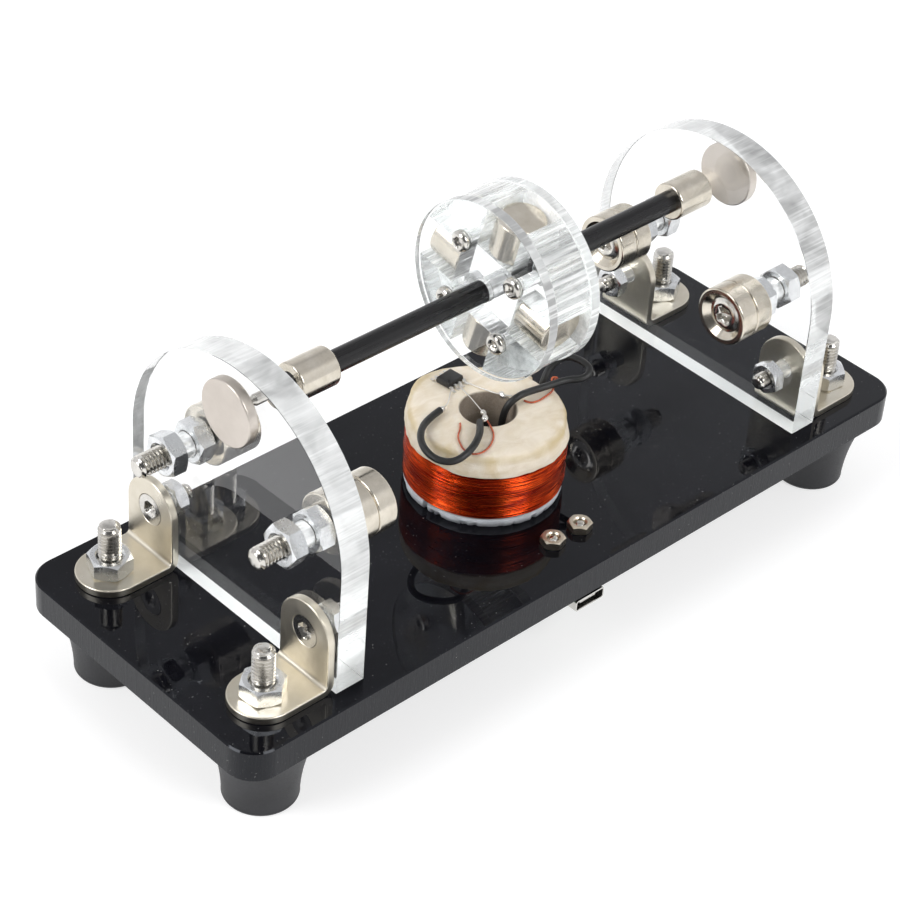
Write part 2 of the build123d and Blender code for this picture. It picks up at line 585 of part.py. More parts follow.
def write_rotor():
    core_left = ROTOR_X - CORE_THICKNESS / 2
    disc_left = core_left - DISC_THICKNESS
    disc_right = core_left + CORE_THICKNESS
    face_right = disc_right + DISC_THICKNESS
    save("rotor_disc_left", facing_x(disc_left, 0, AXIS_Z) * disc())
    save("rotor_disc_right", facing_x(disc_right, 0, AXIS_Z) * disc())
    save("rotor_core", facing_x(core_left, 0, AXIS_Z) * rotor_core())
    for index, angle in enumerate(rotor_angles(), start=1):
        save(f"rotor_magnet_{index}", facing_x(core_left, 0, AXIS_Z) * rotor_magnet(angle))
    screw = pan_screw(M2_THREAD, ROTOR_SCREW_LENGTH, M2_PAN_DIAMETER, M2_PAN_HEIGHT)
    screws = []
    nuts = []
    for index, angle in enumerate(rotor_angles(45)):
        y = ROTOR_SCREW_RADIUS * cos(radians(angle))
        z = AXIS_Z + ROTOR_SCREW_RADIUS * sin(radians(angle))
        screws.append(facing_x(disc_left, y, z) * Rot(0, 0, 33 * index) * screw)
        nut = hex_nut(M2_NUT_FLATS, M2_NUT_HEIGHT, M2_THREAD + 2 * NUT_CLEARANCE, 29 * index)
        nuts.append(facing_x(face_right, y, z) * nut)
    save("rotor_screws", *screws)
    save("rotor_nuts", *nuts)

    magnet_left = -PLATE_INNER + TUBE_MAGNET_PLATE_GAP_LEFT
    magnet_right = PLATE_INNER - TUBE_MAGNET_PLATE_GAP_RIGHT - TUBE_MAGNET_LENGTH
    save("shaft_magnet_left", facing_x(magnet_left, 0, AXIS_Z) * tube_magnet())
    save("shaft_magnet_right", facing_x(magnet_right, 0, AXIS_Z) * tube_magnet())
    rod_left = magnet_left + ROD_END_SETBACK
    rod_right = magnet_right + TUBE_MAGNET_LENGTH - ROD_END_SETBACK
    save("rotor_shaft", facing_x(0, 0, AXIS_Z) * rod(rod_left, rod_right))
    save("thrust_pin", facing_x(0, 0, AXIS_Z) * thrust_pin(-PLATE_INNER + PIN_TIP_GAP, rod_left + PIN_DEPTH))


def write_coil():
    save("coil_bobbin", coil_bobbin())
    save("coil_winding", coil_winding())
    save("coil_collar", coil_collar())
    save("hall_sensor", hall_sensor())
    save("hall_leads", *[wire("hall_lead", points, LEAD_DIAMETER) for points in LEADS])
    save("sensor_wire", wire("sensor_wire", SENSOR_WIRE, SLEEVE_DIAMETER))
    save("coil_wire", wire("coil_wire", COIL_WIRE, SLEEVE_DIAMETER))
    save("supply_wire", wire("supply_wire", SUPPLY_WIRE, SLEEVE_DIAMETER))
    save("enamel_wire_red", wire("enamel_wire_red", RED_WIRE, ENAMEL_DIAMETER))
    save("enamel_wire_orange", wire("enamel_wire_orange", ORANGE_WIRE, ENAMEL_DIAMETER))
    bead = Sphere(SOLDER_BEAD_RADIUS)
    save("solder_joints", *[Pos(x, y, COLLAR_TOP + z) * bead for x, y, z in SOLDER_BEADS])


def write_board():
    save("usb_board", usb_board())
    save("usb_socket", usb_socket())
    screw = pan_screw(M2_THREAD, BOARD_SCREW_LENGTH, M2_PAN_DIAMETER, M2_PAN_HEIGHT)
    nut = hex_nut(M2_NUT_FLATS, M2_NUT_HEIGHT, M2_THREAD + 2 * NUT_CLEARANCE, 15)
    save("board_screws", *[Pos(x, y, BASE_BOTTOM - BOARD_THICKNESS) * screw for x, y in board_holes()])
    save("board_nuts", *[Pos(x, y, BASE_TOP) * nut for x, y in board_holes()])


write_base()
write_ends()
write_adjusters()
write_rotor()
write_coil()
write_board()
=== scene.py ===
import json
from math import atan2, cos, pi, radians, sin, sqrt

import bmesh
import bpy
from mathutils import Matrix, Vector, noise

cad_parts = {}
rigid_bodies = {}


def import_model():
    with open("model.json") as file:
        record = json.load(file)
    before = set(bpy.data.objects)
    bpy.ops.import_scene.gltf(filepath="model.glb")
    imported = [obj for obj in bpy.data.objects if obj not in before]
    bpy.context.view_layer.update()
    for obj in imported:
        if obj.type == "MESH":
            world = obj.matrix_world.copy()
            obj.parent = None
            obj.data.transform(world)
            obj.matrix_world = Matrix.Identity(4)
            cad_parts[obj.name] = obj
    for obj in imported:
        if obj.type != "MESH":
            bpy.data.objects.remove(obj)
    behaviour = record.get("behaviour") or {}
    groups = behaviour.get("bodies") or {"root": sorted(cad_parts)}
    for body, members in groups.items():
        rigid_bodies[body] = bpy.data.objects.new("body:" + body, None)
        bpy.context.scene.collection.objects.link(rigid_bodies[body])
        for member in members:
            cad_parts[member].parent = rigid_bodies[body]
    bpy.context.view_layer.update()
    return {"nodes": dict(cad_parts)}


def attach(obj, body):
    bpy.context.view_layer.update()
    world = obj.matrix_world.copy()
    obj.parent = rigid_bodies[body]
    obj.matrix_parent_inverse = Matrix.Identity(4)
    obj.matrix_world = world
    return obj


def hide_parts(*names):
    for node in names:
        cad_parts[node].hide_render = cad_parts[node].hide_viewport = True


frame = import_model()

# A desk-top demonstration motor: a clear rotor with four magnets on a black rod, above one coil.
# The object's lengths, places and pattern sizes are written in millimetres, and times MM they are in the
# frame's metres. The camera, the lights and the floor are in metres. Angles are written in degrees.

MM = 0.001
NODES = frame["nodes"]

for spare in [o for o in bpy.data.objects if o.name in ("Cube", "Light", "Camera")]:
    bpy.data.objects.remove(spare)


def link(obj):
    bpy.context.scene.collection.objects.link(obj)
    return obj


# ---------------------------------------------------------------- camera

camera_data = bpy.data.cameras.new("camera")
camera = link(bpy.data.objects.new("camera", camera_data))
camera.location = (-0.28275, -0.26613, 0.32005)
camera.rotation_euler = (radians(52.69743), radians(-3.47197), radians(-43.08219))
camera_data.lens = 109.43
camera_data.sensor_width = 36.0
camera_data.clip_start = 0.01
bpy.context.scene.camera = camera

# ---------------------------------------------------------------- wires

COIL = Vector((-1.0, 0.0, 0.0))
AXIS = Vector((0, 0, 62))
BASE_TOP = 20.0
COLLAR_TOP = 35.5
SLEEVE_RADIUS = 0.65
LEAD_RADIUS = 0.11
RED_WIRE_RADIUS = 0.17
ORANGE_WIRE_RADIUS = 0.18
STRAND_RADIUS = 0.07

# The control points of the wires: x and y, and the height over the collar's top.
SENSOR_WIRE = [
    (-8.9, 4.0, 0.9), (-13.0, 3.3, 1.0), (-16.7, 0.9, 1.1), (-18.6, -2.2, 0.8), (-18.6, -5.4, 0.2),
    (-16.5, -7.8, 0.1), (-13.3, -8.2, 1.2), (-9.9, -6.7, 1.5), (-7.4, -4.6, 1.3), (-5.8, -2.8, 0.9),
]
COIL_WIRE = [
    (1.6, -17.2, -22.75), (1.4, -9.4, -23.0), (1.1, -1.4, -22.9), (1.4, -1.0, -15.8), (1.0, -1.4, -9.0),
    (1.4, -1.2, -3.4), (1.9, -1.6, 0.2), (4.3, -2.3, 1.8), (7.7, -2.2, 1.2), (11.2, -3.0, 1.2),
    (14.6, -3.6, 1.2), (17.3, -5.8, 1.5), (19.3, -5.2, 2.4), (19.5, -2.3, 2.7), (18.6, 0.6, 2.4),
    (16.3, 1.7, 0.9), (14.1, 1.3, -1.2), (13.2, 1.0, -3.4),
]
SUPPLY_WIRE = [
    (-3.8, -17.0, -22.75), (-4.0, -9.4, -23.0), (-3.6, -1.6, -22.9), (-3.3, -1.8, -16.0),
    (-3.7, -1.5, -9.6), (-3.4, -1.8, -3.8), (-3.7, -1.9, 0.3),
]
RED_WIRE = [
    (-8.1, -0.3, 0.2), (-9.1, -1.5, 0.22), (-10.9, -2.6, 0.2), (-12.2, -4.6, 0.22), (-13.0, -6.6, 0.2),
    (-12.4, -8.5, 0.22), (-10.4, -8.9, 0.2), (-8.0, -8.1, 0.22), (-5.9, -6.6, 0.2), (-4.7, -4.7, 0.22),
    (-4.2, -3.0, 0.5),
]
ORANGE_WIRE = [
    (5.4, -2.5, 0.2), (5.6, -3.7, 0.22), (7.4, -4.2, 0.2), (9.8, -3.9, 0.22), (11.8, -3.5, 0.2),
    (12.8, -2.0, 0.6), (13.5, -1.1, 0.9), (14.4, -2.0, 0.9), (14.3, -1.0, -0.2), (13.5, -0.5, -2.5),
]
LOOSE_STRAND = [(18.3, 0.9, 2.9), (19.1, 1.3, 3.1), (19.7, 1.9, 2.9)]
HALL_LEADS = [
    [(-2.3, 8.0, 0.6), (-3.6, 7.1, 0.35), (-5.0, 5.9, 0.35), (-6.4, 4.8, 0.5), (-8.4, 4.1, 0.85)],
    [(-0.8, 8.0, 0.6), (-1.1, 6.3, 0.35), (-1.6, 4.1, 0.4), (-2.4, 1.8, 0.6), (-3.1, -0.6, 0.6)],
    [(0.5, 8.2, 0.6), (1.6, 5.4, 0.35), (2.4, 2.6, 0.45), (2.8, 0.4, 0.9), (3.2, -1.4, 1.6)],
]


def over_collar(points):
    return [Vector((x * MM, y * MM, (COLLAR_TOP + z) * MM)) for x, y, z in points]


def wire(name, points, radius):
    """A round wire on a smooth line with these points as its control points."""
    curve = bpy.data.curves.new(name, "CURVE")
    curve.dimensions = "3D"
    spline = curve.splines.new("NURBS")
    spline.points.add(len(points) - 1)
    for control, point in zip(spline.points, points):
        control.co = (*point, 1.0)
        control.radius = radius * MM
    spline.order_u = 3
    spline.use_endpoint_u = True
    spline.resolution_u = 10
    curve.bevel_depth = 1.0
    curve.bevel_resolution = 4
    curve.use_fill_caps = True
    return link(bpy.data.objects.new(name, curve))


sensor_wire = wire("sensor_wire_sleeve", over_collar(SENSOR_WIRE), SLEEVE_RADIUS)
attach(sensor_wire, "frame")
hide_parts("sensor_wire")

coil_wire = wire("coil_wire_sleeve", over_collar(COIL_WIRE), SLEEVE_RADIUS)
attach(coil_wire, "frame")
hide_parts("coil_wire")

# ---------------------------------------------------------------- materials


class Shader:
    """A material's node tree, with short calls for the patterns that the finishes share."""

    def __init__(self, name):
        self.material = bpy.data.materials.new(name)
        self.material.use_nodes = True
        self.tree = self.material.node_tree
        self.tree.nodes.clear()
        self.output = self.tree.nodes.new("ShaderNodeOutputMaterial")
        self.surface = self.tree.nodes.new("ShaderNodeBsdfPrincipled")
        self.tree.links.new(self.surface.outputs[0], self.output.inputs["Surface"])
        self.place = self.tree.nodes.new("ShaderNodeTexCoord").outputs["Object"]

    def join(self, source, target):
        self.tree.links.new(source, target)

    def set(self, **values):
        for key, value in values.items():
            self.surface.inputs[key.replace("_", " ")].default_value = value

    def drive(self, **sources):
        for key, source in sources.items():
            self.join(source, self.surface.inputs[key.replace("_", " ")])

    def noise(self, size, detail=3.0, stretch=(1, 1, 1), roughness=0.5, distortion=0.0):
        """Noise whose features are about size millimetres, longer along an axis with a small stretch."""
        mapping = self.tree.nodes.new("ShaderNodeMapping")
        mapping.inputs["Scale"].default_value = stretch
        self.join(self.place, mapping.inputs["Vector"])
        texture = self.tree.nodes.new("ShaderNodeTexNoise")
        texture.inputs["Scale"].default_value = 1.0 / (size * MM)
        texture.inputs["Detail"].default_value = detail
        texture.inputs["Roughness"].default_value = roughness
        texture.inputs["Distortion"].default_value = distortion
        self.join(mapping.outputs[0], texture.inputs["Vector"])
        return texture.outputs["Fac"]

    def cells(self, size):
        """The distance from scattered points about size millimetres apart, as a share of that size."""
        texture = self.tree.nodes.new("ShaderNodeTexVoronoi")
        texture.inputs["Scale"].default_value = 1.0 / (size * MM)
        self.join(self.place, texture.inputs["Vector"])
        return texture.outputs["Distance"]

    def spread(self, source, low, high, to_low=0.0, to_high=1.0):
        """Maps low..high to to_low..to_high, held at both ends."""
        node = self.tree.nodes.new("ShaderNodeMapRange")
        node.inputs["From Min"].default_value = low
        node.inputs["From Max"].default_value = high
        node.inputs["To Min"].default_value = to_low
        node.inputs["To Max"].default_value = to_high
        self.join(source, node.inputs["Value"])
        return node.outputs["Result"]

    def between(self, source, low, high, to_low=0.0, to_high=1.0):
        """The same for a length, with low and high in millimetres."""
        return self.spread(source, low * MM, high * MM, to_low, to_high)

    def times(self, a, b):
        return self.maths("MULTIPLY", a, b)

    def maths(self, operation, a, b=None):
        """A Math node on sockets or numbers."""
        node = self.tree.nodes.new("ShaderNodeMath")
        node.operation = operation
        for socket, value in zip(node.inputs, (a, b)):
            if isinstance(value, (int, float)):
                socket.default_value = value
            elif value is not None:
                self.join(value, socket)
        return node.outputs[0]

    def blend(self, factor, a, b):
        """Mixes two colours, each a socket or three numbers."""
        node = self.tree.nodes.new("ShaderNodeMix")
        node.data_type = "RGBA"
        if isinstance(factor, (int, float)):
            node.inputs["Factor"].default_value = factor
        else:
            self.join(factor, node.inputs["Factor"])
        for socket, value in ((node.inputs[6], a), (node.inputs[7], b)):
            if isinstance(value, tuple):
                socket.default_value = (*value, 1.0)
            else:
                self.join(value, socket)
        return node.outputs[2]

    def facing(self, axis):
        """How far the surface turns towards an axis, from 0 to 1."""
        return self.maths("ABSOLUTE", self.normal(axis))

    def normal(self, axis):
        return self.part(self.tree.nodes.new("ShaderNodeTexCoord").outputs["Normal"], axis)

    def coordinate(self, axis):
        return self.part(self.place, axis)

    def part(self, vector, axis):
        parts = self.tree.nodes.new("ShaderNodeSeparateXYZ")
        self.join(vector, parts.inputs[0])
        return parts.outputs[axis]

    def vector_maths(self, operation, vector, constant=None):
        node = self.tree.nodes.new("ShaderNodeVectorMath")
        node.operation = operation
        self.join(vector, node.inputs[0])
        if constant is not None:
            node.inputs[1].default_value = constant
        return node

    def from_axis(self, point, across):
        """The distance from an axis through a point. across is 0 along the axis and 1 the other ways."""
        moved = self.vector_maths("SUBTRACT", self.place, point * MM)
        flat = self.vector_maths("MULTIPLY", moved.outputs[0], across)
        return self.vector_maths("LENGTH", flat.outputs[0]).outputs["Value"]

    def bump(self, height, distance, strength=1.0):
        """Adds relief whose full height is distance millimetres."""
        node = self.tree.nodes.new("ShaderNodeBump")
        node.inputs["Distance"].default_value = distance * MM
        if isinstance(strength, (int, float)):
            node.inputs["Strength"].default_value = strength
        else:
            self.join(strength, node.inputs["Strength"])
        self.join(height, node.inputs["Height"])
        before = self.surface.inputs["Normal"]
        if before.is_linked:
            self.join(before.links[0].from_socket, node.inputs["Normal"])
        self.join(node.outputs[0], before)

    def lets_lamps_through(self, tint):
        """Clear plastic throws only a faint shadow."""
        path = self.tree.nodes.new("ShaderNodeLightPath")
        clear = self.tree.nodes.new("ShaderNodeBsdfTransparent")
        clear.inputs["Color"].default_value = (*tint, 1.0)
        mix = self.tree.nodes.new("ShaderNodeMixShader")
        self.join(path.outputs["Is Shadow Ray"], mix.inputs[0])
        self.join(self.surface.outputs[0], mix.inputs[1])
        self.join(clear.outputs[0], mix.inputs[2])
        self.join(mix.outputs[0], self.output.inputs["Surface"])


def clear_acrylic(name, haze, lines, line_size, relief, cloud=0.0, sanded_below=None, glued_from=None):
    """Cast acrylic: glossy faces, and laser-cut edges with pale lines across the sheet. On the edges, haze
    and lines say how milky the clear parts and the lines are, and cloud turns a share of the lines into
    soft patches. Where sanded_below is given, the underside below that height is sanded and the edges clear
    towards it. From the radius glued_from about the rod, the face towards -X has patches of cement."""
    s = Shader(name)
    s.set(IOR=1.49)
    edge = s.spread(s.facing(0), 0.92, 0.6)
    line = s.noise(line_size, detail=1.5, stretch=(0.04, 1, 1))
    patch = s.noise(6.0, detail=1.0, stretch=(0.5, 1, 1))
    scuffs = s.noise(3.2, detail=6.0, roughness=0.65)
    s.drive(Base_Color=s.blend(edge, (0.99, 0.995, 0.995), (0.97, 0.98, 0.975)))
    marks = s.times(s.spread(line, 0.46, 0.62), s.spread(patch, 0.4, 0.56, 0.2, 1.0))
    if cloud:
        broad = s.noise(4.5, detail=2.5, stretch=(0.6, 1, 1), distortion=0.4)
        marks = s.maths("ADD", s.spread(broad, 0.36, 0.64, 0.0, cloud), s.times(marks, 1.0 - cloud))
    milky = s.times(edge, s.spread(marks, 0.0, 1.0, haze, lines))
    if sanded_below is not None:
        height = s.coordinate(2)
        milky = s.times(milky, s.between(height, 22.0, 48.0, 0.22, 1.0))
        low = s.between(height, sanded_below + 0.2, sanded_below)
        sanded = s.times(s.facing(2), low)
        milky = s.maths("MAXIMUM", milky, sanded)
        edge = s.maths("SUBTRACT", edge, sanded)
    if glued_from is not None:
        near_rim = s.between(s.from_axis(AXIS, (0.0, 1.0, 1.0)), glued_from, glued_from + 1.5)
        inner_face = s.spread(s.normal(0), -0.85, -0.95)
        cement = s.spread(s.noise(1.6, detail=4.0, roughness=0.6), 0.38, 0.62, 0.5, 0.88)
        milky = s.maths("MAXIMUM", milky, s.times(s.times(inner_face, near_rim), cement))
    s.drive(Transmission_Weight=s.spread(milky, 0.0, 1.0, 1.0, 0.0))
    polished = s.spread(scuffs, 0.55, 0.8, 0.0, 0.03)
    s.drive(Roughness=s.maths("MAXIMUM", s.times(edge, 0.06), polished))
    s.bump(line, relief, s.times(edge, s.spread(patch, 0.6, 0.4, 0.3, 1.0)))
    s.lets_lamps_through((0.93, 0.95, 0.95))
    return s.material


def black_acrylic():
    """Mirror-black top with faint smears and dust, and satin sawn edges."""
    s = Shader("black_acrylic")
    side = s.spread(s.facing(2), 0.8, 0.3)
    saw = s.noise(0.35, detail=4.0, stretch=(1, 1, 0.06))
    smear = s.noise(9.0, detail=5.0, stretch=(0.5, 1.4, 1), roughness=0.6, distortion=0.6)
    dust = s.spread(s.cells(2.6), 0.035, 0.02)
    lint = s.spread(s.noise(0.5, detail=2.0), 0.69, 0.76)
    speck = s.times(s.maths("MAXIMUM", dust, s.times(lint, 0.4)), s.spread(smear, 0.4, 0.6))
    top = s.blend(s.spread(smear, 0.35, 0.8), (0.0028, 0.0028, 0.004), (0.006, 0.006, 0.0085))
    edge = s.blend(saw, (0.004, 0.0042, 0.0055), (0.009, 0.0092, 0.011))
    s.drive(Base_Color=s.blend(speck, s.blend(side, top, edge), (0.45, 0.45, 0.43)))
    gloss = s.spread(smear, 0.45, 0.85, 0.01, 0.07)
    satin = s.times(side, s.spread(saw, 0.3, 0.7, 0.2, 0.32))
    s.drive(Roughness=s.maths("MAXIMUM", s.maths("ADD", satin, s.times(speck, 0.5)), gloss))
    s.set(IOR=1.33, Specular_Tint=(0.88, 0.92, 1.0, 1.0))
    s.bump(saw, 0.03, side)
    s.bump(s.noise(30.0, detail=1.0), 0.05, 0.3)
    return s.material


def rubber():
    """Black rubber with a dull, finely grained skin."""
    s = Shader("rubber")
    grain = s.noise(0.22, detail=5.0, roughness=0.7)
    patch = s.noise(5.0, detail=4.0)
    s.drive(Base_Color=s.blend(s.spread(patch, 0.3, 0.7), (0.008, 0.0085, 0.0105), (0.016, 0.0165, 0.02)))
    s.drive(Roughness=s.spread(grain, 0.3, 0.7, 0.42, 0.62))
    s.bump(grain, 0.035)
    return s.material


def plated(name, light, dark, smooth, worn, grain_size=0.35, relief=0.006, patch_size=2.5):
    """Plated metal: a base colour that shifts in patches, with fine scratches that catch the light."""
    s = Shader(name)
    patch = s.noise(patch_size, detail=5.0, roughness=0.6)
    grain = s.noise(grain_size, detail=4.0)
    s.drive(Base_Color=s.blend(s.spread(patch, 0.3, 0.72), light, dark))
    mixed = s.times(s.spread(patch, 0.3, 0.75), s.spread(grain, 0.3, 0.7, 0.6, 1.0))
    s.drive(Roughness=s.spread(mixed, 0.0, 1.0, smooth, worn))
    s.set(Metallic=1.0)
    s.bump(grain, relief)
    return s.material


def black_rod():
    """Drawn carbon-filled rod with marks along its length."""
    s = Shader("black_rod")
    streak = s.noise(0.35, detail=4.0, stretch=(0.03, 1, 1))
    patch = s.noise(6.0, detail=3.0)
    tone = s.blend(s.spread(streak, 0.3, 0.7), (0.005, 0.0048, 0.0055), (0.008, 0.0077, 0.0085))
    s.drive(Base_Color=tone)
    s.drive(Roughness=s.spread(s.times(streak, patch), 0.12, 0.4, 0.2, 0.38))
    s.bump(streak, 0.012)
    s.set(IOR=1.42)
    return s.material


def white_bobbin():
    """Moulded white plastic, with painted shade: grey at its foot, where it meets the base, and brown in
    the bore.
    """
    s = Shader("white_bobbin")
    patch = s.noise(2.4, detail=5.0, roughness=0.6)
    grain = s.noise(0.3, detail=4.0)
    # Painted shade: the lowest millimetre of the foot, where it stands on the base, is a darker grey.
    above_foot = s.between(s.coordinate(2), BASE_TOP + 0.1, BASE_TOP + 1.0)
    clean = s.blend(s.spread(patch, 0.3, 0.7), (0.72, 0.74, 0.78), (0.56, 0.58, 0.62))
    outside = s.blend(above_foot, (0.34, 0.35, 0.38), clean)
    # Painted shade: the bore is a darker brown.
    in_bore = s.between(s.from_axis(COIL, (1.0, 1.0, 0.0)), 6.2, 5.6)
    brown = s.blend(s.spread(patch, 0.3, 0.7), (0.3, 0.25, 0.2), (0.22, 0.18, 0.14))
    s.drive(Base_Color=s.blend(in_bore, outside, brown))
    s.drive(Roughness=s.spread(grain, 0.3, 0.7, 0.38, 0.6))
    s.set(Subsurface_Weight=0.15, Subsurface_Radius=(1.0, 1.0, 1.0), Subsurface_Scale=0.4 * MM)
    s.bump(grain, 0.05)
    return s.material


def copper():
    """Enamelled copper: warm metal under a clear orange-red varnish, with a band of painted shade half way
    up.
    """
    s = Shader("copper")
    along = s.noise(0.5, detail=3.0, stretch=(0.1, 0.1, 1.5))
    patch = s.noise(4.0, detail=3.0)
    bright = s.blend(s.spread(patch, 0.35, 0.65), (0.86, 0.115, 0.012), (0.62, 0.055, 0.005))
    deep = s.blend(s.spread(along, 0.38, 0.64), (0.22, 0.009, 0.001), bright)
    height = s.coordinate(2)
    # Painted shade: the band half way up the winding is darker.
    middle = s.times(s.between(height, 24.0, 25.5), s.between(height, 28.5, 27.0))
    s.drive(Base_Color=s.blend(s.times(middle, 0.5), deep, (0.12, 0.005, 0.001)))
    s.drive(Roughness=s.spread(along, 0.3, 0.7, 0.3, 0.16))
    s.set(Metallic=1.0, Coat_Weight=0.15, Coat_Roughness=0.1, Coat_Tint=(1.0, 0.72, 0.5, 1.0))
    s.bump(along, 0.01)
    return s.material


def cream_collar():
    """Cast cream filler, hand cut: brown streaks, pits, a shaded bore and yellow patches by the rim."""
    s = Shader("cream_collar")
    streak = s.noise(3.0, detail=6.0, stretch=(0.5, 1.0, 2.2), roughness=0.62, distortion=0.8)
    stain = s.noise(5.5, detail=4.0, distortion=0.5)
    grain = s.noise(0.28, detail=5.0, roughness=0.65)
    radius = s.from_axis(COIL, (1.0, 1.0, 0.0))
    cream = s.blend(s.spread(streak, 0.35, 0.68), (0.87, 0.79, 0.67), (0.74, 0.64, 0.49))
    stained = s.times(s.spread(stain, 0.5, 0.72), s.between(radius, 10.5, 14.0, 0.15, 0.8))
    shoulder = s.times(s.between(radius, 13.3, 13.9), s.between(s.coordinate(2), 33.3, 34.3))
    band = s.times(shoulder, s.spread(stain, 0.3, 0.6, 0.3, 0.9))
    toned = s.blend(stained, s.blend(band, cream, (0.62, 0.51, 0.31)), (0.6, 0.46, 0.24))
    in_bore = s.between(radius, 5.35, 5.05)
    shaded = s.blend(s.spread(grain, 0.3, 0.7), (0.37, 0.31, 0.25), (0.27, 0.22, 0.175))
    s.drive(Base_Color=s.blend(in_bore, toned, shaded))
    s.drive(Roughness=s.spread(grain, 0.3, 0.7, 0.5, 0.75))
    s.set(Subsurface_Weight=0.2, Subsurface_Radius=(1.0, 0.8, 0.5), Subsurface_Scale=0.5 * MM)
    s.bump(streak, 0.12)
    s.bump(grain, 0.05)
    return s.material


def dark_plastic(name, low, high, smooth, worn, grain_size, relief):
    """Dark plastic or sleeving: a fine grain, and broader patches from one colour to the other."""
    s = Shader(name)
    grain = s.noise(grain_size, detail=5.0, roughness=0.6)
    patch = s.noise(6 * grain_size, detail=3.0)
    s.drive(Base_Color=s.blend(s.spread(patch, 0.3, 0.7), low, high))
    s.drive(Roughness=s.spread(grain, 0.3, 0.7, smooth, worn))
    s.bump(grain, relief)
    return s.material


def enamel_wire():
    """Thin copper wire in red-orange enamel."""
    s = Shader("enamel_wire")
    grain = s.noise(0.6, detail=3.0)
    s.drive(Base_Color=s.blend(s.spread(grain, 0.35, 0.65), (0.7, 0.16, 0.06), (0.36, 0.06, 0.03)))
    s.drive(Roughness=s.spread(grain, 0.3, 0.7, 0.25, 0.4))
    s.set(Metallic=0.35, Coat_Weight=0.3, Coat_Roughness=0.15)
    return s.material


def circuit_board():
    """Green lacquer over glass cloth."""
    s = Shader("circuit_board")
    weave = s.noise(0.3, detail=2.0, stretch=(1, 0.3, 1))
    patch = s.noise(3.0, detail=3.0)
    s.drive(Base_Color=s.blend(s.spread(patch, 0.3, 0.7), (0.01, 0.085, 0.03), (0.012, 0.055, 0.022)))
    s.drive(Roughness=s.spread(weave, 0.3, 0.7, 0.22, 0.36))
    s.bump(weave, 0.012)
    return s.material


FINISH = {
    "clear_acrylic": clear_acrylic(
        "clear_acrylic", 0.36, 0.82, line_size=0.55, relief=0.006, cloud=0.62, sanded_below=BASE_TOP + 0.1,
    ),
    "black_acrylic": black_acrylic(),
    "rubber": rubber(),
    "zinc_nuts": plated(
        "zinc_nuts", (0.84, 0.855, 0.87), (0.66, 0.67, 0.68), 0.2, 0.36, grain_size=0.3,
    ),
    "steel_screws": plated(
        "steel_screws", (0.76, 0.74, 0.7), (0.56, 0.54, 0.5), 0.12, 0.28, grain_size=0.25,
    ),
    "nickel_bracket": plated(
        "nickel_bracket", (0.76, 0.71, 0.61), (0.66, 0.61, 0.5), 0.27, 0.42,
        grain_size=0.25, relief=0.01, patch_size=4.0,
    ),
    "nickel_magnet": plated(
        "nickel_magnet", (0.74, 0.69, 0.6), (0.6, 0.55, 0.46), 0.15, 0.3,
        grain_size=0.3, relief=0.004,
    ),
    "black_rod": black_rod(),
    "white_bobbin": white_bobbin(),
    "copper": copper(),
    "cream_collar": cream_collar(),
    "black_chip": dark_plastic(
        "black_chip", (0.009, 0.0085, 0.0085), (0.018, 0.017, 0.0165), 0.36, 0.5,
        grain_size=0.16, relief=0.015,
    ),
    "tinned_wire": plated(
        "tinned_wire", (0.86, 0.85, 0.82), (0.7, 0.68, 0.64), 0.26, 0.45, grain_size=0.3,
    ),
    "black_sleeve": dark_plastic(
        "black_sleeve", (0.009, 0.0095, 0.0095), (0.018, 0.0185, 0.0185), 0.34, 0.5,
        grain_size=0.4, relief=0.02,
    ),
    "enamel_wire": enamel_wire(),
    "circuit_board": circuit_board(),
    "socket_steel": plated(
        "socket_steel", (0.72, 0.71, 0.68), (0.58, 0.57, 0.54), 0.14, 0.26, grain_size=0.3,
    ),
}
DULL_NICKEL = plated(
    "nickel_magnet_dull", (0.65, 0.595, 0.54), (0.57, 0.52, 0.47), 0.3, 0.42,
    grain_size=0.4, relief=0.004, patch_size=7.0,
)
WARM_NUTS = plated(
    "nickel_board_nuts", (0.76, 0.68, 0.56), (0.62, 0.55, 0.44), 0.26, 0.42, grain_size=0.3,
)
# Painted shade: the thread roots get this darker, rougher metal.
THREAD_ROOT_SHADE = plated("thread_root_painted_shade", (0.3, 0.28, 0.25), (0.2, 0.19, 0.17), 0.35, 0.5)
CORE_FINISH = clear_acrylic("clear_acrylic_core", 0.2, 0.85, line_size=0.7, relief=0.15)
DISC_FINISH = {
    "left": clear_acrylic("clear_acrylic_disc", 0.4, 0.75, line_size=0.6, relief=0.04),
    "right": clear_acrylic(
        "clear_acrylic_disc_glued", 0.4, 0.75, line_size=0.6, relief=0.04, glued_from=11.0,
    ),
}

for node in NODES.values():
    slots = [m.name.split(".")[0] for m in node.data.materials if m]
    finish = next((s for s in slots if s in FINISH), "steel_screws")
    for slot in node.material_slots:
        slot.material = FINISH[finish]
for name in ("end_magnet_left", "end_magnet_right"):
    NODES[name].material_slots[0].material = DULL_NICKEL
NODES["board_nuts"].material_slots[0].material = WARM_NUTS
for cord in (sensor_wire, coil_wire):
    cord.data.materials.append(FINISH["black_sleeve"])

# ---------------------------------------------------------------- pieces


# Points nearer than these distances in metres are one point, in a drawn mesh and in a mesh from CAD.
SAME_POINT = 2e-7
SAME_CAD_POINT = 1e-6

UP = Vector((0, 0, 1))

# A screw size is its radius and pitch. A tip's length and flat are shares of the radius, and the thread's
# depth is a share of the pitch. A drawn thread is smaller than its CAD shaft by the gap, and the slacks say
# how far past a shaft a face still counts as its own.
M4 = (2.0, 0.7)
M3 = (1.5, 0.5)
M2 = (1.0, 0.4)
TIP_LENGTH = 0.5
TIP_FLAT = 0.55
THREAD_DEPTH = 0.7
THREAD_GAP = 0.02
SLACK_ALONG = 0.06
SLACK_ASIDE = 0.02

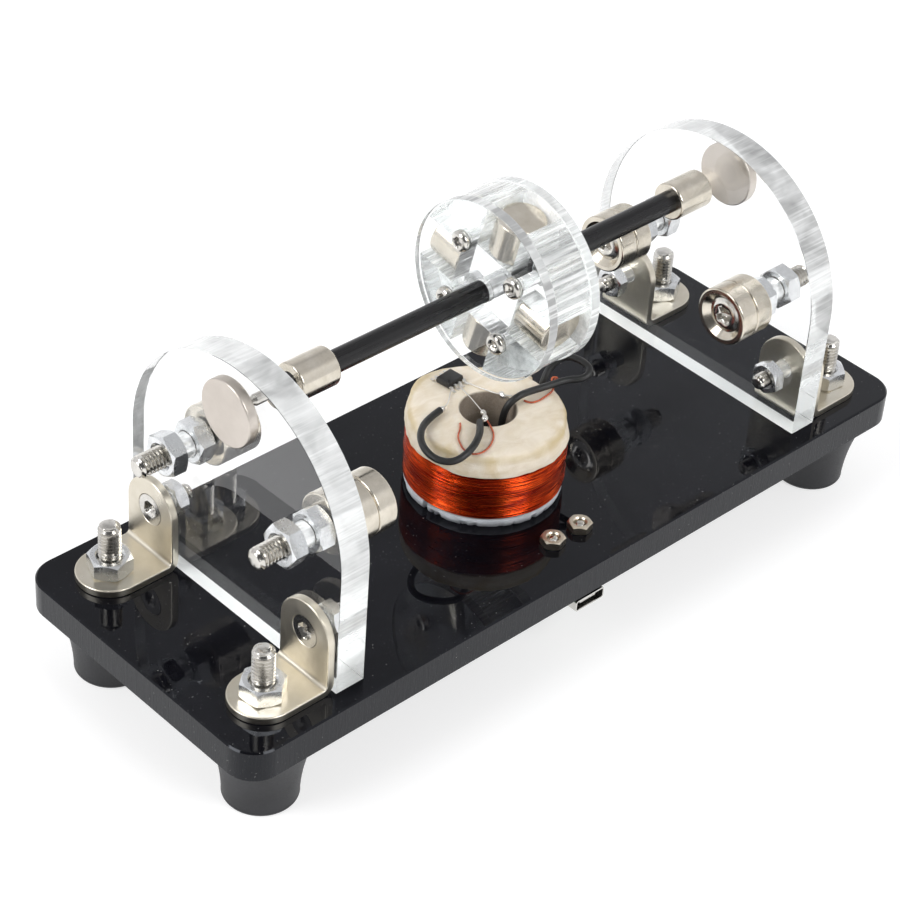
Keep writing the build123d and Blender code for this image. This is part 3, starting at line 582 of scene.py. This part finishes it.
# The corners' signs in X and Y. A screw's place is in the corner with two plus signs, and its span is where
# the thread starts and ends, measured from there along the screw.
CORNERS = {"front_left": (-1, -1), "front_right": (1, -1), "back_left": (-1, 1), "back_right": (1, 1)}
FOOT_SCREW = (69, 20, 0)
FOOT_SPAN = (6.2, 31.2)
BRACKET_SCREW = (60.48, 20, 30)
BRACKET_SPAN = (1.35, 12.0)
ADJUSTER_SCREW = (42.28, 15, 45)
ADJUSTER_SPAN = (1.7, 25.0)
ROTOR_SCREW_X = -5.3
ROTOR_SCREW_CIRCLE = 9.3
ROTOR_SCREW_TURNS = (57, 147, 237, 327)
ROTOR_SPAN = (0.0, 14.0)
BOARD_SCREWS = [(-4.28, -21.2, 13.4), (2.38, -21.2, 13.4)]
BOARD_SPAN = (0.0, 8.0)

# Clear sheets are drawn smaller than their nodes by the gap, and their edges are broken.
AIR_GAP = 0.02
EDGE_BREAK = 0.12

# The width over which a notch in a hand-cut ring reaches its depth.
NOTCH_SLOPE = 0.3


def piece(name, mesh, slot, body, *nodes):
    """Makes an object of a mesh, in place, and lets it stand for these nodes."""
    obj = link(bpy.data.objects.new(name, mesh))
    mesh.materials.append(FINISH[slot])
    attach(obj, body)
    if nodes:
        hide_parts(*nodes)
    return obj


def to_mesh(bm, name, crease=32):
    """A mesh without doubled points or empty faces, smooth but for edges sharper than the crease."""
    bmesh.ops.remove_doubles(bm, verts=bm.verts, dist=SAME_POINT)
    bmesh.ops.dissolve_degenerate(bm, edges=bm.edges, dist=SAME_POINT)
    mesh = bpy.data.meshes.new(name)
    bm.to_mesh(mesh)
    bm.free()
    for polygon in mesh.polygons:
        polygon.use_smooth = True
    mesh.set_sharp_from_angle(angle=radians(crease))
    return mesh


def skin(bm, rings):
    """Faces between each ring of vertices and the next. A ring's last vertex is joined to its first."""
    for low, high in zip(rings, rings[1:]):
        for k in range(len(low)):
            m = (k + 1) % len(low)
            bm.faces.new((low[k], low[m], high[m], high[k]))


def capped_skin(bm, rings):
    """The same, with a face over the first and the last ring."""
    skin(bm, rings)
    bm.faces.new(rings[0][::-1])
    bm.faces.new(rings[-1])


def polar(radius, angle, height=0.0):
    """A point about the upright axis, with its angle in radians."""
    return Vector((radius * cos(angle), radius * sin(angle), height))


def beside(line, k):
    """The points before and after point k of a line. At an end, point k is one of them."""
    return line[max(k - 1, 0)], line[min(k + 1, len(line) - 1)]


def axes_across(direction):
    """Two directions square to this one, and this one, each of length 1."""
    along = Vector(direction).normalized()
    across = along.orthogonal().normalized()
    return across, along.cross(across), along


def add_thread(bm, origin, direction, start, end, radius, pitch, segments=28):
    """A helical thread from start to end along direction, with a rounded tip, and its root faces below the
    tip given the second material, a painted shade.
    """
    u, v, w = axes_across(direction)
    root = radius - THREAD_DEPTH * pitch
    tip_length = TIP_LENGTH * radius
    profile = [(0.0, radius), (0.1, radius), (0.4, root), (0.66, root)]
    rows = []
    turns = int((end - start) / pitch) + 3
    for turn in range(-2, turns):
        for share, r in profile:
            rows.append((turn + share, r))
    grid = []
    for place, r in rows:
        ring = []
        for j in range(segments + 1):
            angle = 2 * pi * j / segments
            t = start + pitch * (place + j / segments)
            here = min(max(t, start), end)
            short = 1.0 - min((end - here) / tip_length, 1.0)
            limit = radius * (TIP_FLAT + (1.0 - TIP_FLAT) * sqrt(1.0 - short * short))
            size = root if t <= start else min(r, limit)
            point = origin + w * here + (u * cos(angle) + v * sin(angle)) * size
            ring.append(bm.verts.new(point * MM))
        grid.append(ring)
    for row, (low, high) in enumerate(zip(grid, grid[1:])):
        for j in range(segments):
            face = bm.faces.new((low[j], low[j + 1], high[j + 1], high[j]))
            # Root faces below the tip take the second material, which paints shade into the roots.
            below_tip = start + pitch * rows[row + 1][0] < end - tip_length
            face.material_index = int(below_tip and row % len(profile) == 2)
    for rim, place in ((grid[0][::-1], start), (grid[-1], end)):
        hub = bm.verts.new((origin + w * place) * MM)
        for j in range(segments):
            bm.faces.new((rim[j], rim[j + 1], hub))


def is_on_shaft(face, shaft, radius):
    """Whether all of a face belongs to a shaft."""
    origin, direction, start, end = shaft
    w = Vector(direction).normalized()
    for vert in face.verts:
        offset = vert.co / MM - origin
        along = offset.dot(w)
        aside = (offset - w * along).length
        if along < start - SLACK_ALONG or along > end + SLACK_ALONG or aside > radius + SLACK_ASIDE:
            return False
    return True


def threaded(name, node, shafts, size, body):
    """The node with its plain shafts cut away and real threads in their place. A shaft is its origin,
    direction, start and end."""
    radius, pitch = size
    bm = bmesh.new()
    bm.from_mesh(NODES[node].data)
    bmesh.ops.remove_doubles(bm, verts=bm.verts, dist=SAME_CAD_POINT)
    gone = [face for face in bm.faces if any(is_on_shaft(face, shaft, radius) for shaft in shafts)]
    bmesh.ops.delete(bm, geom=gone, context="FACES")
    holes = [edge for edge in bm.edges if len(edge.link_faces) == 1]
    bmesh.ops.holes_fill(bm, edges=holes, sides=0)
    for origin, direction, start, end in shafts:
        add_thread(bm, origin, direction, start, end, radius - THREAD_GAP, pitch)
    obj = piece(name, to_mesh(bm, name), "steel_screws", body, node)
    # The second material is painted shade in the thread roots.
    obj.data.materials.append(THREAD_ROOT_SHADE)
    return obj


def at_corner(corner, place):
    """A place in one of the four corners, from the same place in the corner with two plus signs."""
    sx, sy = CORNERS[corner]
    x, y, z = place
    return Vector((sx * x, sy * y, z))


def outward(corner, sign=1):
    """Along X, away from the middle, or towards it with a sign of -1."""
    return (sign * CORNERS[corner][0], 0, 0)


foot_shafts = [(at_corner(corner, FOOT_SCREW), UP, *FOOT_SPAN) for corner in CORNERS]
threaded("foot_screws_threaded", "foot_screws", foot_shafts, M4, "frame")
bracket_shafts = [
    (at_corner(corner, BRACKET_SCREW), outward(corner, -1), *BRACKET_SPAN) for corner in CORNERS
]
threaded("bracket_screws_threaded", "bracket_screws", bracket_shafts, M3, "frame")
for corner in CORNERS:
    adjuster_shaft = (at_corner(corner, ADJUSTER_SCREW), outward(corner), *ADJUSTER_SPAN)
    threaded(
        f"adjuster_screw_{corner}_threaded", f"adjuster_screw_{corner}", [adjuster_shaft], M4,
        f"adjuster_{corner}",
    )


def clear_sheet(name, node, body):
    """The node's own shape, drawn in by a hair, so that air lies between it and what it touches."""
    bm = bmesh.new()
    bm.from_mesh(NODES[node].data)
    bmesh.ops.remove_doubles(bm, verts=bm.verts, dist=SAME_CAD_POINT)
    bmesh.ops.dissolve_limit(bm, angle_limit=radians(0.3), verts=bm.verts, edges=bm.edges)
    bm.normal_update()
    moves = [(vert, vert.normal * (vert.calc_shell_factor() * AIR_GAP * MM)) for vert in bm.verts]
    for vert, move in moves:
        vert.co -= move
    rims = [e for e in bm.edges if len(e.link_faces) == 2 and e.calc_face_angle() > radians(60)]
    bmesh.ops.bevel(bm, geom=rims, offset=EDGE_BREAK * MM, segments=2, affect="EDGES", profile=0.5)
    return piece(name, to_mesh(bm, name, crease=15), "clear_acrylic", body, node)


for side in ("left", "right"):
    clear_sheet(f"end_plate_{side}_clear", f"end_plate_{side}", "frame")
    disc = clear_sheet(f"rotor_disc_{side}_clear", f"rotor_disc_{side}", "rotor")
    disc.data.materials[0] = DISC_FINISH[side]
rotor_core = clear_sheet("rotor_core_clear", "rotor_core", "rotor")
rotor_core.data.materials[0] = CORE_FINISH
rotor_shafts = []
for turn in [radians(degrees) for degrees in ROTOR_SCREW_TURNS]:
    head = Vector((ROTOR_SCREW_X, ROTOR_SCREW_CIRCLE * cos(turn), ROTOR_SCREW_CIRCLE * sin(turn)))
    rotor_shafts.append((AXIS + head, (1, 0, 0), *ROTOR_SPAN))
threaded("rotor_screws_threaded", "rotor_screws", rotor_shafts, M2, "rotor")
board_shafts = [(Vector(place), UP, *BOARD_SPAN) for place in BOARD_SCREWS]
threaded("board_screws_threaded", "board_screws", board_shafts, M2, "frame")


def away_from(angle, at):
    """How far an angle in radians is from one in degrees, either way round, in radians."""
    return abs((angle - radians(at) + pi) % (2 * pi) - pi)


def notch_depth(notches, outer, angle, height):
    """How deep the notches are at this angle and height of a ring with this outer radius. A notch is its
    angle, half width, depth and the height below which it is cut."""
    depths = [
        depth * min(1.0, max(0.0, (half_width - outer * away_from(angle, at)) / NOTCH_SLOPE))
        for at, half_width, depth, top in notches if height < top
    ]
    return max(depths, default=0.0)


def lump_height(lumps, outer, angle):
    """How far the lumps stand out at this angle of a ring. A lump is its angle, half width and height."""
    total = 0.0
    for at, half_width, height in lumps:
        near = max(0.0, 1.0 - outer * away_from(angle, at) / half_width)
        total += height * near * near * (3.0 - 2.0 * near)
    return total


def ring_of(name, centre, profile, outer_from, wobble, seed, notches=(), lumps=(), segments=200):
    """A turned ring whose outside is cut by hand: its points past outer_from wander by wobble."""
    bm = bmesh.new()
    outer = max(r for r, z in profile)
    loops = []
    for j in range(segments):
        angle = 2 * pi * j / segments
        out = polar(1.0, angle)
        loop = []
        for r, z in profile:
            radius = r
            if r > outer_from:
                slow = noise.noise(out * 2.2 + Vector((seed, 0.25 * z, 0)))
                quick = noise.noise(out * 9.0 + Vector((0, seed, 0.8 * z)))
                radius -= wobble * (0.5 + 0.7 * slow + 0.4 * quick)
                radius += lump_height(lumps, outer, angle) - notch_depth(notches, outer, angle, z)
            loop.append(bm.verts.new((centre + out * radius + Vector((0, 0, z))) * MM))
        loops.append(loop)
    skin(bm, loops + loops[:1])
    bmesh.ops.recalc_face_normals(bm, faces=bm.faces)
    return to_mesh(bm, name, crease=38)


# Profiles are radius and height, from the bore's foot round to the outside's foot.
COLLAR_PROFILE = [
    (5.0, 30.8), (5.0, 33.0), (5.02, 34.9), (5.12, 35.3), (5.4, 35.48), (7.5, 35.5), (10.0, 35.5),
    (12.2, 35.44), (13.3, 35.3), (13.9, 34.95), (14.2, 34.4), (14.32, 33.7), (14.5, 33.0), (14.62, 32.2),
    (14.68, 31.5), (14.6, 31.0), (14.3, 30.8), (9.5, 30.8),
]
COLLAR_NOTCH = (3.0, 1.95, 1.2, 40.0)
COLLAR_LUMP = (98.0, 11.0, 1.25)
BOBBIN_PROFILE = [
    (5.0, 20.0), (5.0, 26.0), (5.0, 30.8), (6.5, 30.8), (6.5, 21.8), (10.0, 21.8), (14.0, 21.8),
    (14.5, 21.65), (14.6, 21.2), (14.5, 20.7), (14.35, 20.3), (14.2, 20.02), (10.0, 20.0),
]
BOBBIN_BITES = [(181.0, 0.5, 1.4, 25.0)] + [
    (188.0 + 9.0 * k + 5.0 * sin(4.1 * k), 0.45 + 0.2 * sin(2.3 * k), 0.35 + 0.2 * cos(5.7 * k), 20.75)
    for k in range(36)
]

collar = ring_of(
    "coil_collar_cut", COIL, COLLAR_PROFILE, outer_from=13.0, wobble=0.45, seed=3.1,
    notches=[COLLAR_NOTCH], lumps=[COLLAR_LUMP],
)
piece("coil_collar_cut", collar, "cream_collar", "frame", "coil_collar")
bobbin = ring_of(
    "coil_bobbin_trimmed", COIL, BOBBIN_PROFILE, outer_from=13.0, wobble=0.4, seed=8.4,
    notches=BOBBIN_BITES, segments=400,
)
piece("coil_bobbin_trimmed", bobbin, "white_bobbin", "frame", "coil_bobbin")


def tube_along(bm, line, radius, sides=7):
    """Adds a thin tube along a line of points, without twist about the line."""
    angles = [2 * pi * i / sides for i in range(sides)]
    rings = []
    for k, point in enumerate(line):
        before, after = beside(line, k)
        along = (after - before).normalized()
        side = along.cross(UP).normalized()
        up = side.cross(along)
        spokes = [side * cos(angle) + up * sin(angle) for angle in angles]
        rings.append([bm.verts.new((point + spoke * radius) * MM) for spoke in spokes])
    capped_skin(bm, rings)


def wound(bm, first_z, pitch, turns, base_radius, seed, wander, wire_radius, steps=110):
    """Adds turns of wire about the coil's axis, upwards from first_z, that wander from their line. The seed
    also turns the wire's start."""
    line = []
    for k in range(int(turns * steps) + 1):
        turn = k / steps
        angle = 2 * pi * turn + seed
        here = polar(1.7, angle, 0.33 * turn + seed)
        lift = wander * noise.noise(here)
        swell = 0.5 * wander * noise.noise(here * 1.7 + Vector((9, 4, 2)))
        line.append(COIL + polar(base_radius + swell, angle, first_z + pitch * turn + lift))
    tube_along(bm, line, wire_radius)


LOWER_LAYER = {
    "first_z": 22.05, "pitch": 0.34, "turns": 25.4, "base_radius": 14.05, "seed": 1.3, "wander": 0.06,
    "wire_radius": 0.18,
}
UPPER_LAYER = {
    "first_z": 22.0, "pitch": 0.325, "turns": 26.6, "base_radius": 14.32, "seed": 0.0, "wander": 0.1,
    "wire_radius": 0.165,
}
STRAY_TURN = {"base_radius": 14.43, "wander": 0.1, "wire_radius": 0.15}
STRAY_TURNS = [  # first z, pitch, turns, seed
    (22.6, 1.5, 0.55, 3.4), (25.1, -1.1, 0.7, 3.9), (28.9, -1.8, 0.6, 4.4), (24.0, 2.2, 0.5, 5.1),
    (27.2, 1.2, 0.8, 2.2),
]
WINDING_CORE = [(6.55, 21.82), (13.95, 21.82), (13.95, 30.78), (6.55, 30.78)]  # radius, height
WINDING_CORE_SIDES = 96


def winding():
    """Enamelled wire in neat but not perfect turns, over the layer below, with a few stray turns on top."""
    bm = bmesh.new()
    wound(bm, **LOWER_LAYER)
    wound(bm, **UPPER_LAYER)
    for first_z, pitch, turns, seed in STRAY_TURNS:
        wound(bm, first_z, pitch, turns, seed=seed, **STRAY_TURN)
    angles = [2 * pi * j / WINDING_CORE_SIDES for j in range(WINDING_CORE_SIDES)]
    rings = [[bm.verts.new((COIL + polar(r, angle, z)) * MM) for angle in angles] for r, z in WINDING_CORE]
    skin(bm, rings + rings[:1])
    return to_mesh(bm, "coil_winding_turns", crease=70)


piece("coil_winding_turns", winding(), "copper", "frame", "coil_winding")


SENSOR_AT = Vector((-1.0, 10.0, COLLAR_TOP))
SENSOR_TURN = Matrix.Rotation(radians(6), 4, "Z")
PACKAGE_HALF = (1.95, 1.6)  # half length, half width
PACKAGE_LAYERS = [  # height, and how far the sides stand out there
    (0.12, 0.0), (0.5, 0.12), (0.64, 0.12), (1.18, 0.03), (1.26, 0.0), (1.28, -0.05),
]
CORNER_INSET = 0.2
CORNER_RADIUS = 0.06
MARK_AT = (-1.2, -0.85, 1.28)
MARK_LAYERS = [(0.32, -0.1), (0.32, 0.012), (0.25, 0.0)]  # radius, height
MARK_SIDES = 20
LEG_PATH = [  # distance from the package's middle, height
    (1.55, 0.58), (1.9, 0.58), (2.05, 0.5), (2.17, 0.2), (2.31, 0.09), (2.85, 0.07),
]
LEGS_PER_SIDE = 4
LEG_PITCH = 1.15
LEG_HALF = (0.24, 0.08)  # half width, half thickness
SQUARE = ((-1, -1), (1, -1), (1, 1), (-1, 1))


def on_sensor(x, y, z):
    """A place on the sensor, in metres, from its own X and Y and its height over the collar."""
    return (SENSOR_AT + SENSOR_TURN @ Vector((x, y, z))) * MM


def sensor_body():
    """A moulded package: its waist is widest at the parting line, and its top has a round index mark."""
    bm = bmesh.new()
    half_length, half_width = PACKAGE_HALF
    rings = []
    for z, grow in PACKAGE_LAYERS:
        ring = []
        for sx, sy in SQUARE:
            for step in range(4):
                angle = atan2(sy, sx) + radians(-45 + 30 * step)
                x = sx * (half_length + grow - CORNER_INSET) + CORNER_RADIUS * cos(angle)
                y = sy * (half_width + grow - CORNER_INSET) + CORNER_RADIUS * sin(angle)
                ring.append(bm.verts.new(on_sensor(x, y, z)))
        rings.append(ring)
    capped_skin(bm, rings)
    mark = on_sensor(*MARK_AT)
    angles = [2 * pi * k / MARK_SIDES for k in range(MARK_SIDES)]
    rings = [[bm.verts.new(mark + polar(r, angle, z) * MM) for angle in angles] for r, z in MARK_LAYERS]
    capped_skin(bm, rings)
    return to_mesh(bm, "hall_sensor_package", crease=25)


def sensor_legs():
    """Flat bent legs: out of the package's waist, down, and flat on the collar."""
    bm = bmesh.new()
    half_width, half_thickness = LEG_HALF
    for side in (-1, 1):
        for k in range(LEGS_PER_SIDE):
            x = (k - (LEGS_PER_SIDE - 1) / 2) * LEG_PITCH
            rings = []
            for n, (out, z) in enumerate(LEG_PATH):
                before, after = beside(LEG_PATH, n)
                along = Vector((0, after[0] - before[0], after[1] - before[1])).normalized()
                up = Vector((0, -along.z, along.y)) * half_thickness
                corners = [Vector((x + w * half_width, out, z)) + up * s for w, s in SQUARE]
                rings.append([bm.verts.new(on_sensor(c.x, side * c.y, c.z)) for c in corners])
            capped_skin(bm, rings)
    bmesh.ops.recalc_face_normals(bm, faces=bm.faces)
    return to_mesh(bm, "hall_sensor_legs", crease=30)


piece("hall_sensor_package", sensor_body(), "black_chip", "frame", "hall_sensor")
piece("hall_sensor_legs", sensor_legs(), "tinned_wire", "frame")


BEADS = [  # place, size, and which way it is drawn out
    ((-8.5, 4.1, 0.85), 0.52, (0.45, -0.1, 0.0)), ((-3.2, -1.0, 0.6), 0.5, (0.1, 0.35, 0.0)),
    ((-4.3, -2.5, 0.8), 0.56, (0.3, 0.3, 0.0)), ((2.8, 0.5, 0.9), 0.48, (0.1, 0.5, 0.1)),
    ((1.6, -17.6, -22.6), 0.6, (0.0, 0.2, 0.0)), ((-3.8, -17.4, -22.6), 0.6, (0.0, 0.2, 0.0)),
]


def solder(beads):
    """Beads of solder: each a drawn-out drop that is a little lumpy."""
    bm = bmesh.new()
    for index, (place, size, stretch) in enumerate(beads):
        made = bmesh.ops.create_icosphere(bm, subdivisions=4, radius=1.0)
        pull = Vector(stretch)
        for vert in made["verts"]:
            direction = vert.co.normalized()
            lump = 1.0 + 0.22 * noise.noise(direction * 1.6 + Vector((index * 7.0, 0, 0)))
            offset = direction * size * lump
            offset += pull * direction.dot(pull.normalized()) * 0.6
            vert.co = (Vector(place) + Vector((0, 0, COLLAR_TOP)) + offset) * MM
    return to_mesh(bm, "solder_beads", crease=60)


piece("solder_beads", solder(BEADS), "tinned_wire", "frame", "solder_joints")


def thin_wires(name, routes, radius, slot, *nodes):
    """Smooth thin wires joined as one piece."""
    parts = [wire(f"{name}_{k}", over_collar(points), radius) for k, points in enumerate(routes)]
    bm = bmesh.new()
    depsgraph = bpy.context.evaluated_depsgraph_get()
    for part in parts:
        mesh = bpy.data.meshes.new_from_object(part.evaluated_get(depsgraph))
        bm.from_mesh(mesh)
        bpy.data.meshes.remove(mesh)
        bpy.data.objects.remove(part)
    return piece(name, to_mesh(bm, name, crease=60), slot, "frame", *nodes)


thin_wires("hall_leads_drawn", HALL_LEADS, LEAD_RADIUS, "tinned_wire", "hall_leads")
thin_wires("enamel_wire_red_drawn", [RED_WIRE], RED_WIRE_RADIUS, "enamel_wire", "enamel_wire_red")
thin_wires(
    "enamel_wire_orange_drawn", [ORANGE_WIRE], ORANGE_WIRE_RADIUS, "enamel_wire", "enamel_wire_orange",
)
thin_wires("supply_wire_sleeve", [SUPPLY_WIRE], SLEEVE_RADIUS, "black_sleeve", "supply_wire")
thin_wires("loose_strand", [LOOSE_STRAND], STRAND_RADIUS, "tinned_wire")

# ---------------------------------------------------------------- floor and light


FLOOR_SIZE = 20.0  # in metres, from the middle to each side
SKY = [(0.0, 0.85), (0.3, 0.8), (0.5, 0.85), (0.6, 0.9), (0.75, 0.55), (1.0, 0.75)]  # height, level
SKY_GAPS = [  # azimuth, elevation, inner and outer radius, level
    (54, 45, 6, 19, 0.7), (226, 35, 18, 58, 0.12),
]


def floor():
    """A plain pale floor that glows a little, as an evenly lit paper sweep looks."""
    mesh = bpy.data.meshes.new("floor")
    bm = bmesh.new()
    bmesh.ops.create_grid(bm, x_segments=4, y_segments=4, size=FLOOR_SIZE)
    bm.to_mesh(mesh)
    bm.free()
    obj = link(bpy.data.objects.new("floor", mesh))
    s = Shader("floor_white")
    s.drive(Base_Color=s.blend(s.noise(60.0, detail=4.0), (0.5, 0.5, 0.5), (0.56, 0.56, 0.56)))
    s.set(Roughness=0.9, Specular_IOR_Level=0.1)
    s.set(Emission_Color=(1.0, 1.0, 1.0, 1.0), Emission_Strength=0.62)
    mesh.materials.append(s.material)


floor()


def direction(azimuth, elevation):
    """Which way an azimuth from +X and an elevation point."""
    return polar(cos(radians(elevation)), radians(azimuth), sin(radians(elevation)))


def softbox(name, azimuth, elevation, distance, size, power):
    """An area light aimed at the middle of the object. Distance and size are in metres."""
    data = bpy.data.lights.new(name, "AREA")
    data.shape = "RECTANGLE"
    data.size, data.size_y = size
    data.energy = power
    obj = link(bpy.data.objects.new(name, data))
    away = direction(azimuth, elevation)
    obj.location = Vector((0, 0, 0.04)) + away * distance
    obj.rotation_euler = away.to_track_quat("Z", "Y").to_euler()


def studio_sky():
    """White all round, with two darker gaps: one that the base reflects, and one behind the camera."""
    world = bpy.data.worlds.new("studio")
    bpy.context.scene.world = world
    world.use_nodes = True
    tree = world.node_tree
    tree.nodes.clear()
    background = tree.nodes.new("ShaderNodeBackground")
    output = tree.nodes.new("ShaderNodeOutputWorld")
    tree.links.new(background.outputs[0], output.inputs["Surface"])
    place = tree.nodes.new("ShaderNodeTexCoord").outputs["Generated"]
    parts = tree.nodes.new("ShaderNodeSeparateXYZ")
    tree.links.new(place, parts.inputs[0])
    ramp = tree.nodes.new("ShaderNodeValToRGB")
    tree.links.new(parts.outputs["Z"], ramp.inputs["Fac"])
    while len(ramp.color_ramp.elements) > 1:
        ramp.color_ramp.elements.remove(ramp.color_ramp.elements[-1])
    for index, (height, level) in enumerate(SKY):
        element = ramp.color_ramp.elements[0] if index == 0 else ramp.color_ramp.elements.new(height)
        element.position = height
        element.color = (level, level, 1.02 * level, 1)
    colour = ramp.outputs["Color"]
    for azimuth, elevation, inner, outer, level in SKY_GAPS:
        towards = tree.nodes.new("ShaderNodeVectorMath")
        towards.operation = "DOT_PRODUCT"
        tree.links.new(place, towards.inputs[0])
        towards.inputs[1].default_value = direction(azimuth, elevation)
        gap = tree.nodes.new("ShaderNodeMapRange")
        gap.interpolation_type = "SMOOTHSTEP"
        gap.inputs["From Min"].default_value = cos(radians(outer))
        gap.inputs["From Max"].default_value = cos(radians(inner))
        gap.inputs["To Min"].default_value = 1.0
        gap.inputs["To Max"].default_value = level
        tree.links.new(towards.outputs["Value"], gap.inputs["Value"])
        dim = tree.nodes.new("ShaderNodeVectorMath")
        dim.operation = "MULTIPLY"
        tree.links.new(colour, dim.inputs[0])
        tree.links.new(gap.outputs[0], dim.inputs[1])
        colour = dim.outputs[0]
    tree.links.new(colour, background.inputs["Color"])
    background.inputs["Strength"].default_value = 1.0


studio_sky()
softbox("light_left", 166, 38, 1.3, (0.6, 0.7), 8.6)
softbox("light_front", 276, 38, 1.3, (0.55, 0.7), 7.0)

bpy.context.scene.view_settings.view_transform = "Standard"
bpy.context.scene.view_settings.look = "None"
